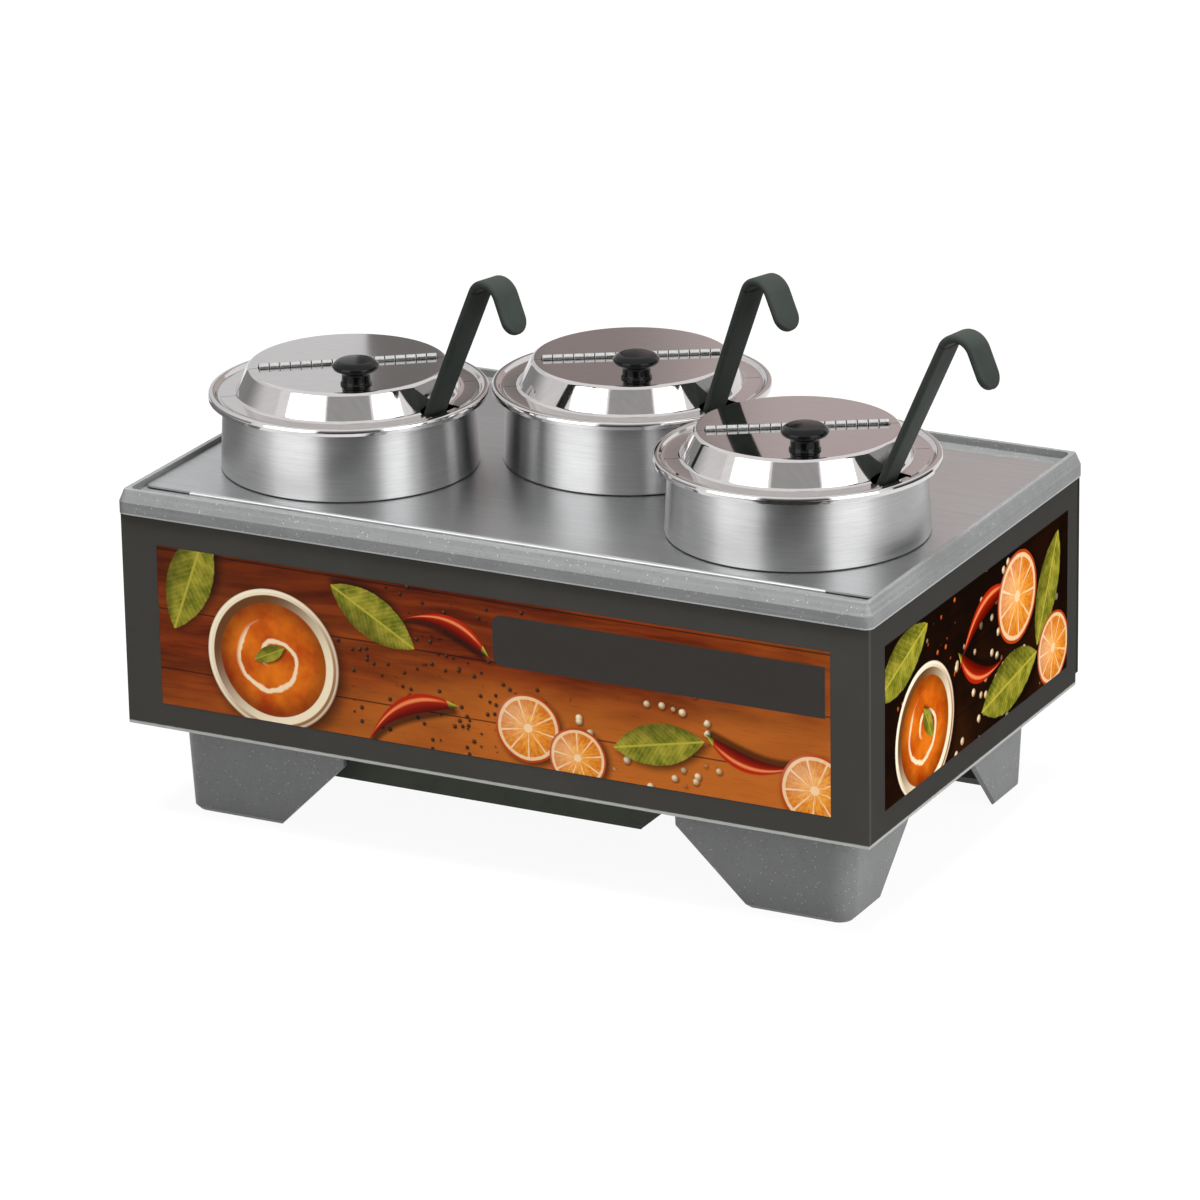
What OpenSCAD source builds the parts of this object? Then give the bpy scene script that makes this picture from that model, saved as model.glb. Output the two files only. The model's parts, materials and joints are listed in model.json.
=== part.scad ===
// Countertop soup station: a moulded warmer base on four corner legs, a water well, a steel
// plate with raised collars, and soup insets with piano-hinged lids and hooked ladles.
// Millimetres, +Z up. The origin is on the counter under the middle of the base, and the
// serving side, with its printed panels, faces -Y.

/* [Soup insets] */
// Outer radius of an inset's wall at its mouth
inset_r = 83.2; // [76:0.1:92]
// Sheet thickness of an inset
inset_t = 0.8; // [0.6:0.1:1.2]
// How much the radius of an inset's wall shrinks from mouth to bottom
inset_taper = 6.2; // [4:0.1:9]
// Radius between an inset's wall and its bottom, inside
inset_bottom_r = 18; // [10:1:24]
// Height of the lid seat above the plate
seat_h = 50.5; // [42:0.5:60]
// Width of the lid seat
seat_w = 5.6; // [4.5:0.1:8]
// Width of the rolled bead round the seat
bead_w = 6.3; // [5:0.1:9]
// Rise of the bead above the seat
bead_rise = 2.4; // [1.6:0.1:4]
// Drop of the bead's outer edge below the seat
bead_drop = 2.4; // [1.5:0.1:4]
// Gap between the rims of neighbouring insets
pot_gap = 1.15; // [0.8:0.05:6]
// Distance in Y between the front row and the rear row of insets
pot_row = 91; // [84:1:110]

/* [Lids] */
// Sheet thickness of a lid
lid_t = 0.8; // [0.6:0.1:1.2]
// Play between the lid's edge and the bead
lid_play = 1.8; // [1.4:0.1:3]
// Height of the flat top above the lid's flange
lid_crown_h = 18.2; // [14:0.1:24]
// Radius of the flat top
lid_flat_r = 67; // [62:0.5:72]
// Radius of the foot of the cone
lid_foot_r = 76; // [73.5:0.5:79]
// Radius of the rounding at the top and foot of the cone
lid_round_r = 3; // [2:0.5:4]
// Gap between the two halves of a lid
lid_split = 0.5; // [0.3:0.1:1]
// Turn of each lid's hinge line from +X, left, middle and right
lid_turns = [36, 31, 31.5];
// Width of the ladle notch
notch_w = 28; // [26:0.5:30]
// Radius in the inner corners of the notch
notch_corner_r = 2.5; // [1:0.5:4]
// Radius at which the notch ends in the cone
notch_in_r = 73.2; // [71:0.1:73.4]
// Angle of the notch from the hinge line
notch_turn = 47.5; // [46:0.5:52]

/* [Lid hinges] */
// Length of the knuckled barrel
hinge_len = 120; // [100:1:124]
// Number of knuckles
hinge_knuckles = 17; // [13:2:21]
// Outer radius of the barrel
knuckle_r = 2.6; // [2.4:0.1:3]
// Radius of the pin
pin_r = 1.2; // [0.9:0.1:1.3]
// Running clearance round the pin
pin_play = 0.05; // [0.03:0.01:0.1]
// Gap between neighbouring knuckles
knuckle_gap = 0.5; // [0.3:0.05:0.7]
// Height of the pin above the flat top
hinge_rise = 0.6; // [0.4:0.1:1]
// Thickness of a hinge leaf
leaf_t = 0.8; // [0.6:0.1:1]
// Distance from the pin to the far edge of a leaf
leaf_w = 15; // [11:1:18]
// Gap between the barrel and the sheet beside it
barrel_gap = 0.4; // [0.3:0.1:0.8]

/* [Lid knobs] */
// Distance of the knob from the hinge line
knob_reach = 47; // [44:1:49]
// Height of the knob
knob_h = 18; // [16:0.5:22]
// Radius of the knob's cap
knob_cap_r = 16; // [13:0.5:18]
// Radius of the knob's stem
knob_stem_r = 10; // [8:0.5:12]
// Height of the knob's cap
knob_cap_h = 8.5; // [7:0.5:10]
// Radius of the knob's screw
knob_screw_r = 2; // [1.5:0.1:2.5]
// Radius of the head of the knob's screw
knob_screw_head_r = 4; // [3.5:0.1:5]
// Height of the head of the knob's screw
knob_screw_head_h = 2.4; // [2:0.1:3]
// Length of the screw inside the knob
knob_screw_len = 11; // [8:0.5:12]

/* [Ladles] */
// Width of the coated handle
grip_w = 20; // [16:0.5:21]
// Thickness of the coated handle
grip_t = 5.5; // [4.5:0.1:6.5]
// Radius on the edges of the coated handle
grip_edge_r = 2.1; // [1.5:0.1:2.2]
// Radius of the hook's bend, at the middle of the handle
hook_r = 12.5; // [11:0.5:18]
// Turn of the hook
hook_turn = 130; // [110:1:150]
// Length of the hook's tail past the bend
hook_tail = 26; // [22:1:40]
// Length of the coating below the inset's mouth
grip_sink = 60; // [45:1:80]
// Length from the bowl's rim to the start of the hook
ladle_len = 288.5; // [276:0.5:320]
// Lean of each ladle from upright, left, middle and right
ladle_leans = [25.9, 22.5, 25.6];
// Turn of each ladle's place from the middle of its notch
ladle_shifts = [-2, -2.5, -0.5];
// Turn of each ladle's plane from the pot's radius
ladle_yaws = [-3, -0.5, 6];
// Height of each bowl above its inset's bottom, left, middle and right
ladle_rests = [12.3, 1, 17.3];
// Width of the steel shank
shank_w = 13; // [10:0.5:13.5]
// Thickness of the steel shank
shank_t = 2; // [1.5:0.1:2.5]
// Length of the shank inside the coating
shank_socket = 30; // [20:1:40]
// Radius of the bowl at its rim
bowl_r = 33; // [28:0.5:35]
// Depth of the bowl
bowl_depth = 30; // [24:0.5:34]
// Radius of the flat at the bottom of the bowl
bowl_flat_r = 8; // [4:0.5:12]
// Sheet thickness of the bowl
bowl_t = 1; // [0.8:0.1:1.5]
// Height over which the shank is welded to the bowl
bowl_weld = 4; // [3:0.5:6]
// Gap between the handle and the inset's mouth
ladle_gap = 0.3; // [0.2:0.05:1]

/* [Plate and collars] */
// Thickness of the plate
plate_t = 1.2; // [1:0.1:1.6]
// Plate beyond the collars along X
plate_margin_x = 14; // [10:0.5:30]
// Plate beyond the collars along Y
plate_margin_y = 13; // [10:0.5:30]
// Radius of the plate's corners
plate_corner_r = 4; // [2:0.5:8]
// Drop of the turned-down edge at the front and rear
plate_lip_drop = 2.2; // [1.8:0.1:2.4]
// Distance from the plate's corner to the end of the turned-down edge
plate_lip_end = 34; // [20:1:60]
// Outer radius of the bend along the turned-down edge
plate_lip_r = 2; // [1:0.1:2.1]
// Sheet thickness of a collar
collar_t = 0.9; // [0.7:0.1:1.2]
// Gap between a collar and the inset inside it
collar_play = 0.4; // [0.3:0.05:0.8]
// How much a collar widens from top to bottom
collar_flare = 2.5; // [1.5:0.1:4]
// Height of the rounded foot of a collar
collar_foot_h = 3; // [2:0.5:5]
// How far the foot of a collar turns in
collar_foot_in = 1.8; // [1:0.1:2.4]

/* [Moulded base] */
// Height of the legs under the housing
leg_h = 68; // [55:1:80]
// Height of the housing's walls
wall_h = 148.8; // [130:0.1:170]
// Thickness of the housing's walls
wall_t = 3; // [2.5:0.1:3.2]
// Draft of the walls and legs from upright
wall_draft = 3.03; // [2.6:0.01:3.3]
// Set-back of the legs, at the counter, from the rim
leg_setback = 29.5; // [27:0.5:31]
// Corner radius of the legs at the counter
leg_corner_r = 12; // [8:0.5:16]
// Length of a leg along X at the counter
leg_foot_len = 71; // [55:1:90]
// Length of a leg along Y at the counter
leg_foot_depth = 45; // [42:1:60]
// Length of a leg along X at its top
leg_top_len = 123; // [100:1:150]
// Length of a leg along Y at its top
leg_top_depth = 95; // [85:1:120]
// Share of a leg's height over which its free ends slant, before they stand upright
leg_slant_share = 0.75; // [0.6:0.01:0.9]
// Thickness of a leg's walls
leg_t = 4; // [3:0.5:5]
// Thickness of a leg's sole
leg_sole_t = 4; // [3:0.5:6]
// Width of the sole that turns in along a leg's walls
leg_sole_w = 16; // [13:0.5:18]
// Bevel round a leg's sole
leg_bevel = 3; // [2:0.5:4]
// Width of the inner flange that joins a leg to the housing
flange_w = 16; // [14:0.5:20]
// Thickness of a leg's flange
leg_flange_t = 5; // [4:0.5:7]
// Thickness of the housing's bottom flange
housing_flange_t = 4; // [3.5:0.1:5]
// Height of the moulded rim
rim_h = 16.5; // [13.5:0.1:20]
// Height of the rim's upright lip
rim_lip_h = 8.5; // [6:0.1:9]
// How far the rim's bevel leans in
rim_bevel = 3.5; // [2:0.1:4.5]
// Radius of the rim's corners
rim_corner_r = 6; // [5:0.5:10]
// Width of the bead along the rim's top
rim_bead_w = 3.2; // [2:0.1:5]
// Depth of the ledge below the rim's top
rim_recess = 5.3; // [4:0.1:6.5]
// Room between the plate and the bead along X
recess_gap_x = 1.8; // [1:0.1:6]
// Room between the plate and the bead along Y
recess_gap_y = 17.5; // [16:0.5:24]
// Radius in the corners of the recess
recess_corner_r = 5; // [3:0.5:8]

/* [Water well] */
// Sheet thickness of the well
well_t = 0.8; // [0.6:0.1:1.2]
// Room beside the insets along X, at the plate
well_room_x = 2.3; // [2:0.1:2.6]
// Room beside the insets along Y, at the plate
well_room_y = 5.3; // [4:0.1:7]
// How much each side of the well leans in
well_taper = 5.4; // [5:0.1:6]
// Radius of the well's corners at the bottom
well_corner_r = 14; // [8:1:20]
// Width of the well's flange
well_flange_w = 9; // [7:0.5:9.5]
// Thickness of the well's flange
well_flange_t = 1.2; // [1:0.1:1.5]
// Gap between the well and the opening in the rim
well_play = 1; // [0.6:0.1:2]
// Height of the well's bottom above the top of the legs
well_floor_rise = 8.5; // [7.8:0.1:12]
// Height of the insets above the well's bottom
well_floor_gap = 7.5; // [5:0.5:20]

/* [Panels] */
// Thickness of a panel
panel_t = 3; // [2:0.5:5]
// Set-back of a panel's face from the rim
panel_setback = 2; // [1:0.5:4]
// Thickness of the edge strip at the rear of a side panel
strip_t = 4; // [3:0.5:6]
// Height of the strip's lower end above the panel's bottom edge
strip_lift = 8; // [5:1:15]
// Width of the strip
strip_w = 12; // [8:1:16]
// Thickness of a print
print_t = 0.25; // [0.1:0.05:0.4]
// Panel border beside the front print
print_border_x = 27; // [20:1:60]
// Panel border above a print
print_border_top = 19; // [12:1:40]
// Panel border below a print
print_border_low = 18; // [12:1:40]
// Panel border in front of a side print
print_border_front = 24; // [16:1:60]
// Panel border behind a side print
print_border_rear = 20; // [14:1:60]
// Width of a panel bracket
bracket_w = 30; // [20:1:40]
// Thickness of a panel bracket
bracket_t = 1.5; // [1:0.1:2]
// Drop of a panel bracket along its panel
bracket_drop = 26; // [20:1:40]
// Length of a panel bracket under the rim
bracket_reach = 13; // [11:0.5:14.5]
// Radius of a bracket screw
bracket_screw_r = 1.6; // [1.2:0.1:2]
// Length of a bracket screw past its bracket
bracket_screw_len = 2.2; // [1.2:0.1:2.4]

/* [Heater and control box] */
// Height of the box
box_h = 39; // [32:1:46]
// Gap between the box's front and rear faces and the flanges beside them
box_gap = 1.4; // [1:0.1:10]
// Distance of the box's right end from the middle
box_right = 86; // [70:1:110]
// Distance of the box's left end from the middle
box_left = 150; // [130:1:170]
// Sheet thickness of the box
box_t = 1.2; // [0.8:0.1:2]
// Width of the flange at the box's top
box_flange_w = 12; // [8:1:16]
// Thickness of the bottom plate
floor_t = 1; // [0.8:0.1:1.5]
// Radius of the heating element's tube
element_r = 4; // [3:0.1:4.5]
// Length of the heating element along X
element_len = 190; // [150:5:210]
// Distance between the heating element's outer runs along Y
element_span = 150; // [120:5:180]
// Gap between the heating element and the well
element_gap = 0.3; // [0.2:0.05:1]
// Radius of the thermostat's knob
dial_r = 14.5; // [11:0.5:15.5]
// Depth of the thermostat's knob
dial_depth = 16; // [12:0.5:19]
// Distance of the thermostat's knob from the middle along X
dial_x = 30; // [10:1:50]
// Size of the thermostat's body along X and Z
thermostat_w = 28; // [22:1:30]
// Depth of the thermostat's body
thermostat_depth = 34; // [24:1:44]
// Radius of the thermostat's shaft
shaft_r = 3; // [2.5:0.1:3.5]
// Running clearance round the thermostat's shaft
shaft_play = 0.05; // [0.03:0.01:0.1]
// Radius of the pilot light's lens
pilot_r = 6; // [4.5:0.5:8]
// Distance of the pilot light from the middle along X
pilot_x = -22; // [-40:1:-15]
// Radius of the cord gland's body
gland_r = 6.5; // [5:0.5:9]
// Distance of the cord gland from the middle along X
gland_x = -105; // [-125:1:-80]
// Bore of the cord gland
gland_bore_r = 4; // [3:0.5:4.5]
// Radius of a leg bolt
bolt_r = 2.5; // [2:0.1:3]
// Radius of a leg bolt's head
bolt_head_r = 4.5; // [4:0.1:6]
// Height of a leg bolt's head
bolt_head_h = 3.5; // [3:0.1:5]
// Clearance round the bolts and screws
bolt_play = 0.1; // [0.05:0.05:0.3]

/* [Hidden] */
$fn = 64;
// Overrun of every cut past the face that it opens
cut = 1;
// Step where the hook's tail leaves the bend
tail_step = 0.1;
// Steps in a rounded stretch of a sheet's outline
round_steps = 5;

// Levels above the counter
rim_z = leg_h + wall_h;
rim_top_z = rim_z + rim_h;
ledge_z = rim_top_z - rim_recess;
plate_low_z = ledge_z + well_flange_t;
plate_z = plate_low_z + plate_t;
seat_z = plate_z + seat_h;
well_floor_z = leg_h + well_floor_rise;
inset_low_z = well_floor_z + well_floor_gap;
inset_floor_z = inset_low_z + inset_t;
floor_plate_z = leg_h + housing_flange_t;
box_low = floor_plate_z - box_h;

// Radii of the inset, its lid and its collar
mouth_r = inset_r - inset_t;
seat_out_r = mouth_r + seat_w;
inset_rim_r = seat_out_r + bead_w;
lid_r = seat_out_r - lid_play;
collar_in_r = inset_r + collar_play;
collar_top_r = collar_in_r + collar_t;
collar_low_r = collar_top_r + collar_flare;
collar_h = seat_h - inset_t;

// Places of the insets: two in the front row, one between them in the rear row
pot_pitch = 2 * inset_rim_r + pot_gap;
pot_x = sqrt(pot_pitch * pot_pitch - pot_row * pot_row);
pots = [[-pot_x, -pot_row / 2], [0, pot_row / 2], [pot_x, -pot_row / 2]];

// Half sizes in plan, from the insets outwards
plate_hx = pot_x + collar_low_r + plate_margin_x;
plate_hy = pot_row / 2 + collar_low_r + plate_margin_y;
recess_hx = plate_hx + recess_gap_x;
recess_hy = plate_hy + recess_gap_y;
rim_hx = recess_hx + rim_bead_w + rim_bevel;
rim_hy = recess_hy + rim_bead_w + rim_bevel;
foot_hx = rim_hx - leg_setback;
foot_hy = rim_hy - leg_setback;
well_hx = pot_x + inset_r + well_room_x;
well_hy = pot_row / 2 + inset_r + well_room_y;
panel_hx = rim_hx - panel_setback;
panel_hy = rim_hy - panel_setback;
floor_open_hx = foot_hx + grow_at(leg_h) - wall_t - flange_w;
floor_open_hy = foot_hy + grow_at(leg_h) - wall_t - flange_w;
leg_in_hx = foot_hx + grow_at(leg_sole_t) - leg_t;
leg_in_hy = foot_hy + grow_at(leg_sole_t) - leg_t;
box_half_depth = min(floor_open_hy, leg_in_hy - flange_w) - box_gap;

// Lid heights above the plate, and the hinge's pin
flange_top_h = seat_h + lid_t;
crown_h = flange_top_h + lid_crown_h;
pin_h = crown_h + hinge_rise;
barrel_half = knuckle_r + barrel_gap;
knuckle_pitch = hinge_len / hinge_knuckles;

// Values of the bolts that join a leg to the housing
bolt_inset = leg_t + flange_w / 2;
bolt_len = leg_flange_t + housing_flange_t - bolt_head_h / 3;

function grow_at(h) = h * tan(wall_draft);

// Points of an arc about c, from angle a0 to angle a1
function arc(c, r, a0, a1) =
    [for (i = [0 : round_steps])
        let (a = a0 + (a1 - a0) * i / round_steps) c + r * [cos(a), sin(a)]];

function unit(v) = v / norm(v);
function left_of(a, b) = let (d = unit(b - a)) [-d[1], d[0]];

// One point of a path moved t to its left, square to both stretches that meet there
function moved(p, i, t) =
    let (last = len(p) - 1,
         before = left_of(p[max(i, 1) - 1], p[max(i, 1)]),
         after = left_of(p[min(i, last - 1)], p[min(i, last - 1) + 1]),
         m = unit(before + after))
    p[i] + m * t / (m * before);

// Outline of a sheet of thickness t that lies along the left of a path
function sheet(p, t) = concat(p, [for (i = [len(p) - 1 : -1 : 0]) moved(p, i, t)]);

module trapezoid(half, h, grow)
    polygon([[-half, 0], [half, 0], [half + grow, h], [-half - grow, h]]);

// Block with round upright corners whose sides lean out by grow over its height
module draft_block(hx, hy, r, h, grow = 0) {
    rotate([90, 0, 0])
        translate([0, 0, r - hy])
            linear_extrude(2 * (hy - r)) trapezoid(hx, h, grow);
    rotate([90, 0, 90])
        translate([0, 0, r - hx])
            linear_extrude(2 * (hx - r)) trapezoid(hy, h, grow);
    for (sx = [-1, 1], sy = [-1, 1])
        translate([sx * (hx - r), sy * (hy - r), 0])
            cylinder(h = h, r1 = r, r2 = r + grow);
}

// Plain box between two corners
module span_box(low, high) translate(low) cube(high - low);

// Frames of a pot, its lid and its ladle
module at_pot(i) translate([pots[i][0], pots[i][1], plate_z]) children();
module at_lid(i) at_pot(i) rotate([0, 0, lid_turns[i]]) children();
module at_notch(i) at_lid(i) rotate([0, 0, -notch_turn]) children();

// Moulded housing: drafted walls with an inner bottom flange, and the rim on top
module housing() {
    wall_r = leg_corner_r + grow_at(leg_h);
    wall_hx = foot_hx + grow_at(leg_h);
    wall_hy = foot_hy + grow_at(leg_h);
    color("dimgray") {
        difference() {
            translate([0, 0, leg_h])
                draft_block(wall_hx, wall_hy, wall_r, wall_h, grow_at(wall_h));
            translate([0, 0, floor_plate_z])
                draft_block(wall_hx - wall_t + grow_at(housing_flange_t),
                    wall_hy - wall_t + grow_at(housing_flange_t),
                    wall_r - wall_t + grow_at(housing_flange_t),
                    wall_h, grow_at(wall_h));
            span_box([-floor_open_hx, -floor_open_hy, leg_h - cut],
                [floor_open_hx, floor_open_hy, floor_plate_z + cut]);
            each_bolt() bolt_hole();
        }
        difference() {
            translate([0, 0, rim_z]) {
                draft_block(rim_hx, rim_hy, rim_corner_r, rim_lip_h);
                translate([0, 0, rim_lip_h])
                    draft_block(rim_hx, rim_hy, rim_corner_r, rim_h - rim_lip_h, -rim_bevel);
            }
            translate([0, 0, ledge_z])
                draft_block(recess_hx, recess_hy, recess_corner_r, rim_recess + cut);
            translate([0, 0, rim_z - cut])
                draft_block(well_hx + well_t + well_play, well_hy + well_t + well_play,
                    well_corner_r, rim_h);
            each_bracket() bracket_hole();
        }
    }
}

// One corner leg, sx and sy being the signs of its corner
module leg(sx, sy) {
    hx = foot_hx;
    hy = foot_hy;
    color("dimgray")
        difference() {
            intersection() {
                leg_shell();
                rotate([90, 0, 0])
                    linear_extrude(2 * (hy + leg_h), center = true)
                        leg_outline(hx, leg_foot_len, leg_top_len, sx);
                rotate([90, 0, 90])
                    linear_extrude(2 * (hx + leg_h), center = true)
                        leg_outline(hy, leg_foot_depth, leg_top_depth, sy);
            }
            each_bolt() bolt_hole();
            translate([0, 0, -cut])
                linear_extrude(leg_sole_t + 2 * cut) {
                    sole_end(hx - leg_foot_len, leg_in_hy, sx, sy);
                    rotate([0, 0, 90]) sole_end(hy - leg_foot_depth, leg_in_hx, sy, -sx);
                }
        }
}

// Side view of a leg: its free end slants outwards from the foot, then stands upright
module leg_outline(half, foot_len, top_len, side)
    polygon([for (p = [[half - foot_len, 0], [2 * half, 0], [2 * half, leg_h], [half - top_len, leg_h],
        [half - top_len, leg_slant_share * leg_h]]) [side * p[0], p[1]]]);

// Plan of the slanted cut at one end of a sole: it starts at the wall's foot and grows inwards
module sole_end(foot, wall, sx, sy) {
    slant_share = 1.75;
    polygon([for (p = [[foot - 2 * leg_sole_t, wall], [foot, wall],
        [foot + slant_share * leg_sole_w, wall - leg_sole_w], [foot - 2 * leg_sole_t, wall - leg_sole_w]])
        [sx * p[0], sy * p[1]]]);
}

// The walls, soles and top flanges that the four legs are cut from
module leg_shell() {
    pocket_h = leg_h - leg_sole_t - leg_flange_t;
    difference() {
        union() {
            draft_block(foot_hx - leg_bevel, foot_hy - leg_bevel, leg_corner_r - leg_bevel,
                leg_bevel, leg_bevel);
            translate([0, 0, leg_bevel])
                draft_block(foot_hx, foot_hy, leg_corner_r, leg_h - leg_bevel,
                    grow_at(leg_h - leg_bevel));
        }
        translate([0, 0, leg_sole_t])
            draft_block(leg_in_hx, leg_in_hy, leg_corner_r - leg_t, pocket_h, grow_at(pocket_h));
        span_box([flange_w - leg_in_hx, flange_w - leg_in_hy, leg_sole_t],
            [leg_in_hx - flange_w, leg_in_hy - flange_w, leg_h + cut]);
        span_box([leg_sole_w - foot_hx, leg_sole_w - foot_hy, -cut],
            [foot_hx - leg_sole_w, foot_hy - leg_sole_w, leg_sole_t + cut]);
    }
}

// Places of the leg bolts, at the underside of the legs' flanges
module each_bolt() {
    reach_x = foot_hx + grow_at(leg_h) - bolt_inset;
    reach_y = foot_hy + grow_at(leg_h) - bolt_inset;
    for (sx = [-1, 1], sy = [-1, 1]) {
        translate([sx * (reach_x - leg_foot_len), sy * reach_y, leg_h - leg_flange_t]) children();
        translate([sx * reach_x, sy * (reach_y - leg_foot_depth), leg_h - leg_flange_t]) children();
    }
}

module bolt_hole() translate([0, 0, -cut]) cylinder(h = bolt_len + 2 * cut, r = bolt_r + bolt_play);

module leg_bolts()
    color("silver")
        each_bolt() {
            cylinder(h = bolt_len, r = bolt_r);
            translate([0, 0, -bolt_head_h]) cylinder(h = bolt_head_h, r = bolt_head_r, $fn = 6);
        }

// Front panel, and a side panel with the edge strip at its rear
module panel_front()
    color("darkslategray")
        difference() {
            span_box([-panel_hx, -panel_hy, leg_h], [panel_hx, panel_t - panel_hy, rim_z]);
            each_bracket() screw_hole();
        }

module panel_side(sx)
    color("darkslategray")
        mirror([sx < 0 ? 1 : 0, 0, 0])
            difference() {
                union() {
                    span_box([panel_hx - panel_t, panel_t - panel_hy, leg_h],
                        [panel_hx, panel_hy - strip_t, rim_z]);
                    translate([panel_hx, panel_hy, 0])
                        rotate([90, 0, 0])
                            linear_extrude(strip_t) strip_outline();
                }
                each_bracket() screw_hole();
            }

// Strip seen from behind, with its lower inner corner cut off
module strip_outline()
    polygon([[0, leg_h + strip_lift], [0, rim_z], [-strip_w, rim_z],
        [-strip_w, leg_h + 2 * strip_lift], [-strip_lift / 2, leg_h + strip_lift]]);

// Printed film on a panel: its face lies outside the panel's
module print_front()
    color("saddlebrown")
        span_box([print_border_x - panel_hx, -panel_hy - print_t, leg_h + print_border_low],
            [panel_hx - print_border_x, -panel_hy, rim_z - print_border_top]);

module print_side(sx)
    color("saddlebrown")
        mirror([sx < 0 ? 1 : 0, 0, 0])
            span_box([panel_hx, print_border_front - panel_hy, leg_h + print_border_low],
                [panel_hx + print_t, panel_hy - print_border_rear, rim_z - print_border_top]);

// Bracket places: the local +X axis points at the panel, z = 0 is the rim's underside
module each_bracket() {
    side_y_share = 0.55;
    front_x_share = 0.72;
    for (k = [-1, 0, 1])
        translate([k * front_x_share * panel_hx, panel_t - panel_hy, rim_z])
            rotate([0, 0, -90]) children();
    for (sx = [-1, 1], k = [-1, 1])
        translate([sx * (panel_hx - panel_t), k * side_y_share * panel_hy, rim_z])
            rotate([0, 0, sx < 0 ? 180 : 0]) children();
}

module bracket_hole()
    translate([-bracket_reach / 2, 0, -bracket_t - cut])
        cylinder(h = bracket_t + cut + bracket_screw_len, r = bracket_screw_r + bolt_play);

module screw_hole()
    translate([-bracket_t - cut, 0, -bracket_drop / 2])
        rotate([0, 90, 0])
            cylinder(h = bracket_t + cut + bracket_screw_len, r = bracket_screw_r + bolt_play);

module panel_brackets()
    color("silver")
        each_bracket()
            difference() {
                rotate([90, 0, 0])
                    linear_extrude(bracket_w, center = true)
                        polygon([[0, 0], [-bracket_reach, 0], [-bracket_reach, -bracket_t],
                            [-bracket_t, -bracket_t], [-bracket_t, -bracket_drop],
                            [0, -bracket_drop]]);
                bracket_hole();
                screw_hole();
            }

// Screws up into the rim and out into the panel, with domed heads
module panel_screws()
    color("silver")
        each_bracket() {
            translate([-bracket_reach / 2, 0, -bracket_t]) bracket_screw();
            translate([-bracket_t, 0, -bracket_drop / 2]) rotate([0, 90, 0]) bracket_screw();
        }

module bracket_screw() {
    head_r = 2 * bracket_screw_r;
    cylinder(h = bracket_t + bracket_screw_len, r = bracket_screw_r);
    intersection() {
        translate([0, 0, -head_r]) cylinder(h = head_r, r = head_r);
        sphere(r = head_r);
    }
}

// Water well: a tapered steel pan that hangs by its flange on the rim's ledge
module water_well() {
    depth = ledge_z - well_floor_z;
    low_hx = well_hx - well_taper;
    low_hy = well_hy - well_taper;
    color("lightgray")
        difference() {
            union() {
                translate([0, 0, well_floor_z - well_t])
                    draft_block(low_hx + well_t, low_hy + well_t, well_corner_r - well_taper + well_t,
                        depth + well_t, well_taper);
                translate([0, 0, ledge_z])
                    draft_block(well_hx + well_flange_w, well_hy + well_flange_w, well_corner_r,
                        well_flange_t);
            }
            translate([0, 0, well_floor_z])
                draft_block(low_hx, low_hy, well_corner_r - well_taper, depth, well_taper);
            translate([0, 0, ledge_z - cut])
                draft_block(well_hx, well_hy, well_corner_r, well_flange_t + 2 * cut);
        }
}

// Steel sheet on the housing's bottom flange, open over the control box
module bottom_plate()
    color("gray")
        translate([0, 0, floor_plate_z])
            difference() {
                draft_block(floor_hx(), floor_hy(), leg_corner_r, floor_t);
                span_box([-box_left + box_t, box_t - box_half_depth, -cut],
                    [box_right - box_t, box_half_depth - box_t, floor_t + cut]);
            }

function floor_hx() = foot_hx + grow_at(floor_plate_z) - wall_t - well_play;
function floor_hy() = foot_hy + grow_at(floor_plate_z) - wall_t - well_play;

// Control box: an open tray whose flange lies against the bottom plate
module control_box()
    color([0.06, 0.07, 0.06])
        difference() {
            union() {
                span_box([-box_left, -box_half_depth, box_low],
                    [box_right, box_half_depth, floor_plate_z]);
                span_box([-box_left - box_flange_w, -box_half_depth, floor_plate_z - box_t],
                    [box_right + box_flange_w, box_half_depth, floor_plate_z]);
            }
            span_box([-box_left + box_t, box_t - box_half_depth, box_low + box_t],
                [box_right - box_t, box_half_depth - box_t, floor_plate_z + cut]);
            at_control(dial_x) control_hole(shaft_r + shaft_play);
            at_control(pilot_x) control_hole(pilot_r);
            at_control(gland_x) control_hole(gland_r);
        }

// Places on the box's rear face: the local +Z axis points out of the rear
module at_control(x)
    translate([x, box_half_depth, (box_low + floor_plate_z) / 2]) rotate([-90, 0, 0]) children();

module control_hole(r) translate([0, 0, -box_t - cut]) cylinder(h = box_t + 2 * cut, r = r);

// Tubular element bent into three hairpin runs under the well
module heating_element() {
    pitch = element_span / 3;
    bend_r = pitch / 2;
    run = element_len - 2 * bend_r;
    mid_x = (box_right - box_left) / 2;
    tail_drop = (element_top_z() - box_low) / 2;
    color("dimgray")
        translate([mid_x, 0, element_top_z() - element_r]) {
            for (k = [0 : 3])
                translate([-run / 2, (k - 3 / 2) * pitch, 0])
                    rotate([0, 90, 0]) cylinder(h = run, r = element_r);
            for (k = [0 : 2])
                translate([(k % 2 == 0 ? 1 : -1) * run / 2, (k - 1) * pitch, 0])
                    rotate([0, 0, k % 2 == 0 ? -90 : 90])
                        rotate_extrude(angle = 180) translate([bend_r, 0]) circle(r = element_r);
            for (k = [0, 3])
                translate([-run / 2, (k - 3 / 2) * pitch, 0]) {
                    sphere(r = element_r);
                    translate([0, 0, -tail_drop]) cylinder(h = tail_drop, r = element_r);
                }
        }
}

function element_top_z() = well_floor_z - well_t - element_gap;

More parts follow.
